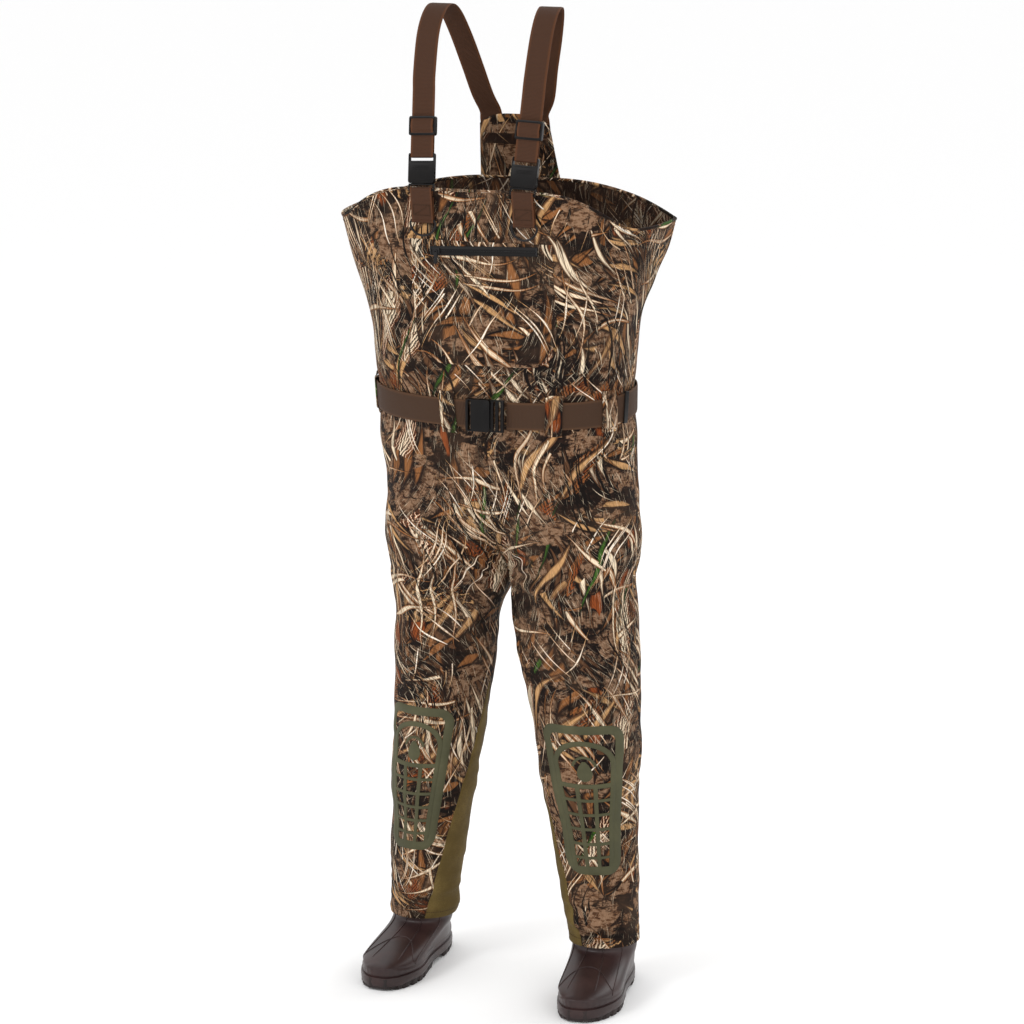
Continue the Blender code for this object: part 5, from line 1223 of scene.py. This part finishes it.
def upper(sign, share, z, outward=0.0):
    """The outside of the boot's upper."""
    share, z, outward = np.broadcast_arrays(share, z, outward)
    high = np.maximum(z, COLLAR_Z)
    ankle = shell_point(sign, share, high)
    ankle = ankle + (outward - WALL - SHAFT_CLEAR)[..., None] * shell_normal(sign, share, high)
    swell = 0.004 * np.sin(np.pi * np.minimum(1.0, (z - SOLE_THICK) / 0.05))
    foot = foot_outline(share, swell + outward)
    foot = in_frame(boot_frame(sign), np.concatenate([foot, z[..., None]], -1))
    reach = np.where(z >= COLLAR_Z, 0.0, upper_reach(share, z))[..., None]
    point = (1 - reach) * ankle + reach * foot
    point[..., 2] = z
    return point


TOE_SHARE, HEEL_SHARE = 0.25, 0.75


def share_from(share, place):
    """The shorter way round the foot between two shares."""
    return np.abs((share - place + 0.5) % 1 - 0.5)


def band_rise(share, z):
    """How far the toe bumper, the foxing and the heel counter stand out."""
    toe, heel = share_from(share, TOE_SHARE), share_from(share, HEEL_SHARE)
    top = 0.0330 + 0.0135 * hump(toe, 0.080) + 0.0260 * smooth((0.100 - heel) / 0.030)
    inside = smooth((top - z) / 0.0028)
    ribs = 0.5 + 0.5 * np.cos(math.tau * 44 * share)
    ribbed = inside * smooth((0.125 - toe) / 0.01) * smooth((z - 0.0250) / 0.002)
    ribbed = ribbed * smooth((top - 0.0035 - z) / 0.002)
    heel_ribs = inside * smooth((0.075 - heel) / 0.01) * smooth((z - 0.036) / 0.002)
    heel_ribs = heel_ribs * smooth((top - 0.004 - z) / 0.002)
    return 0.0017 * inside + 0.0004 * ribbed * ribs + 0.0006 * heel_ribs * ribs


def boot(sign):
    side, columns = NAMES[sign], 352
    share = np.arange(columns) / columns
    low = SOLE_THICK + 0.0003
    z = np.concatenate([np.linspace(low, 0.090, 60), np.linspace(0.095, SHAFT_TOP_Z, 10)])
    share, z = np.meshgrid(share, z)
    outer = upper(sign, share, z, band_rise(share, z))
    inner = upper(sign, share, z, -UPPER_WALL)
    rows, count = z.shape[0], z.size
    faces = grid_quads(rows, columns, wrap=True) + grid_quads(rows, columns, count, wrap=True)
    for base in (0, (rows - 1) * columns):
        ring = [(base + j, base + (j + 1) % columns) for j in range(columns)]
        faces += [(a, b, b + count, a + count) for a, b in ring]
    points = np.concatenate([outer.reshape(-1, 3), inner.reshape(-1, 3)])
    uvs = np.stack([np.tile(share.ravel() * 0.6, 2), np.tile(z.ravel(), 2)], -1)
    made = add_mesh(f"{side}_boot", points, faces, ("boot",), uvs)
    settle(made, "shell", "boot_rubber", f"{side}_boot_upper", f"{side}_toe_bumper", f"{side}_heel_counter")
    lines = []
    drop = np.linspace(0.088, 0.0475, 40)
    for place, spread_out in ((-0.040, 0.018), (0.036, 0.020)):
        aside = math.copysign(spread_out, place) * (drop - 0.088) / -0.040
        lines.append((TOE_SHARE + place + aside, drop))
    for place in (-0.150, 0.140):
        lines.append((np.full(40, TOE_SHARE + place), np.linspace(0.088, 0.0350, 40)))
    round_toe = np.linspace(-0.150, 0.140, 90)
    lines.append((TOE_SHARE + round_toe, 0.0640 - 0.0260 * (round_toe / 0.15) ** 2))
    for place in (-0.055, 0.055):
        lines.append((np.full(30, HEEL_SHARE + place), np.linspace(0.084, 0.062, 30)))
    beads = []
    for s, heights in lines:
        line = upper(sign, s, heights, 0.0002)
        fade = np.interp(np.arange(len(line)), [0, 4, len(line) - 5, len(line) - 1], [0.4, 1, 1, 0.4])
        beads.append(tube(line, 0.0011 * fade))
    joined(f"{side}_boot_beads", beads, "boot", "shell", "boot_rubber")


def foxing(sign):
    """The band that joins the upper to the sole."""
    side = NAMES[sign]
    share = np.arange(240) / 240
    toe = share_from(share, TOE_SHARE)
    low = 0.0105 - 0.0030 * smooth((0.14 - toe) / 0.05)
    rings = ((0.0, 0.0000), (0.0, 0.0042), (0.06, 0.0052), (0.5, 0.0056), (0.94, 0.0050),
             (1.0, 0.0024), (1.0, 0.0))
    points = []
    for up, stand in rings:
        z = low + (SOLE_THICK + 0.0022 - low) * up
        flat = foot_outline(share, stand)
        points.append(in_frame(boot_frame(sign), np.concatenate([flat, z[:, None]], -1)))
    points = np.array(points)
    uvs = np.stack(np.meshgrid(share * 0.6, np.arange(len(rings)) * 0.003), -1)
    faces, last = grid_quads(len(rings), 240, wrap=True), (len(rings) - 1) * 240
    faces += [(j, (j + 1) % 240, last + (j + 1) % 240, last + j) for j in range(240)]
    made = add_mesh(f"{side}_foxing", points.reshape(-1, 3), faces, ("boot",), uvs.reshape(-1, 2))
    settle(made, "shell", "boot_rubber")


def outsole(sign):
    side, matrix = NAMES[sign], boot_frame(sign)
    refined(f"{side}_boot_outsole", "sole", "sole_rubber", "shell", 0.0009)
    refined(f"{side}_boot_insole", "felt", "insole_felt", "shell", 0.0008)
    pads = []
    for k in range(34):
        middle = (k + 0.5) / 34
        ahead = float(foot_outline(np.array(middle))[1])
        low = 0.0092 if -0.014 < ahead < 0.030 else (0.0045 if ahead > TOE_REACH - 0.012 else 0.0012)
        s = middle + np.linspace(-0.0095, 0.0095, 7)[None]
        z = np.linspace(low, 0.0190, 6)[:, None]
        dome = np.sqrt(np.clip(1 - np.linspace(-0.97, 0.97, 7)[None] ** 4, 0, 1))
        dome = dome * np.sqrt(np.clip(1 - np.linspace(-0.97, 0.97, 6)[:, None] ** 4, 0, 1))
        grow = SOLE_EDGE - 0.0010 + 0.0026 * dome
        flat = foot_outline(np.broadcast_to(s, dome.shape), grow)
        outer = np.concatenate([flat, np.broadcast_to(z, dome.shape)[..., None]], -1)
        flat = foot_outline(np.broadcast_to(s, dome.shape), SOLE_EDGE - 0.0040)
        inner = np.concatenate([flat, np.broadcast_to(z, dome.shape)[..., None]], -1)
        points, faces = slab(outer, inner)
        points = in_frame(matrix, points)
        pads.append((points, faces, points[:, :2]))
    joined(f"{side}_sole_lugs", pads, "sole", "shell", "sole_rubber")


rim_binding()
yoke()
pocket()
chest_zip()
belt()
for name, sign, share in BELT_LOOPS:
    belt_loop(name, sign, share)
belt_hardware()
for sign in (1, -1):
    strap_loop(sign)
    shoulder_strap(sign)
    chest_tab(sign)
    adjuster_wrap(sign)
    d_ring(sign)
    shoulder_hardware(sign)
    knee_grip(sign)
    leg_stitching(sign)
    boot(sign)
    foxing(sign)
    outsole(sign)


# ---- Floor, lights and camera -------------------------------------------------------------------
LAMPS = (("key", (-2.2, -3.6, 3.6), 1.6, 60), ("fill", (3.4, -3.0, 2.0), 2.6, 20),
         ("back", (1.0, 3.4, 3.0), 2.0, 30))  # name, place, size in metres, watts
LAMP_AIM = Vector((0, 0, 0.9))
FLOOR_HALF = 40
VIEW_AZIMUTH, VIEW_ELEVATION, VIEW_DISTANCE = math.radians(18.4), math.radians(12.6), 7.03
VIEW_TARGET = Vector((0, SHIFT_Y, 0.83))
LENS, SENSOR, LENS_SHIFT = 148.7, 36, 0.0052


def studio():
    floor_look = bpy.data.materials.new("floor")
    floor_look.use_nodes = True
    shader = floor_look.node_tree.nodes["Principled BSDF"]
    shader.inputs["Base Color"].default_value = (0.99, 0.99, 0.99, 1)
    shader.inputs["Roughness"].default_value = 0.9
    mesh = bpy.data.meshes.new("floor")
    corners = [(x * FLOOR_HALF, y * FLOOR_HALF, 0) for x, y in ((-1, -1), (1, -1), (1, 1), (-1, 1))]
    mesh.from_pydata(corners, [], [(0, 1, 2, 3)])
    mesh.materials.append(floor_look)
    floor = bpy.data.objects.new("floor", mesh)
    bpy.context.scene.collection.objects.link(floor)
    world = bpy.data.worlds.new("studio")
    bpy.context.scene.world = world
    world.use_nodes = True
    world.node_tree.nodes["Background"].inputs[0].default_value = (1, 1, 1, 1)
    world.node_tree.nodes["Background"].inputs[1].default_value = 1.0
    for name, place, size, power in LAMPS:
        lamp = bpy.data.lights.new(name, "AREA")
        lamp.size, lamp.energy = size, power
        obj = bpy.data.objects.new(name, lamp)
        obj.location = place
        obj.rotation_euler = (LAMP_AIM - Vector(place)).to_track_quat("-Z", "Y").to_euler()
        bpy.context.scene.collection.objects.link(obj)


def camera():
    level = math.cos(VIEW_ELEVATION)
    away = Vector((math.sin(VIEW_AZIMUTH) * level, -math.cos(VIEW_AZIMUTH) * level,
                   math.sin(VIEW_ELEVATION)))
    data = bpy.data.cameras.new("camera")
    data.lens, data.sensor_width, data.shift_x, data.clip_end = LENS, SENSOR, LENS_SHIFT, 200
    obj = bpy.data.objects.new("camera", data)
    obj.location = VIEW_TARGET + VIEW_DISTANCE * away
    obj.rotation_euler = (-away).to_track_quat("-Z", "Y").to_euler()
    bpy.context.scene.collection.objects.link(obj)
    bpy.context.scene.camera = obj


camera()
studio()
bpy.context.scene.view_settings.view_transform = "Standard"
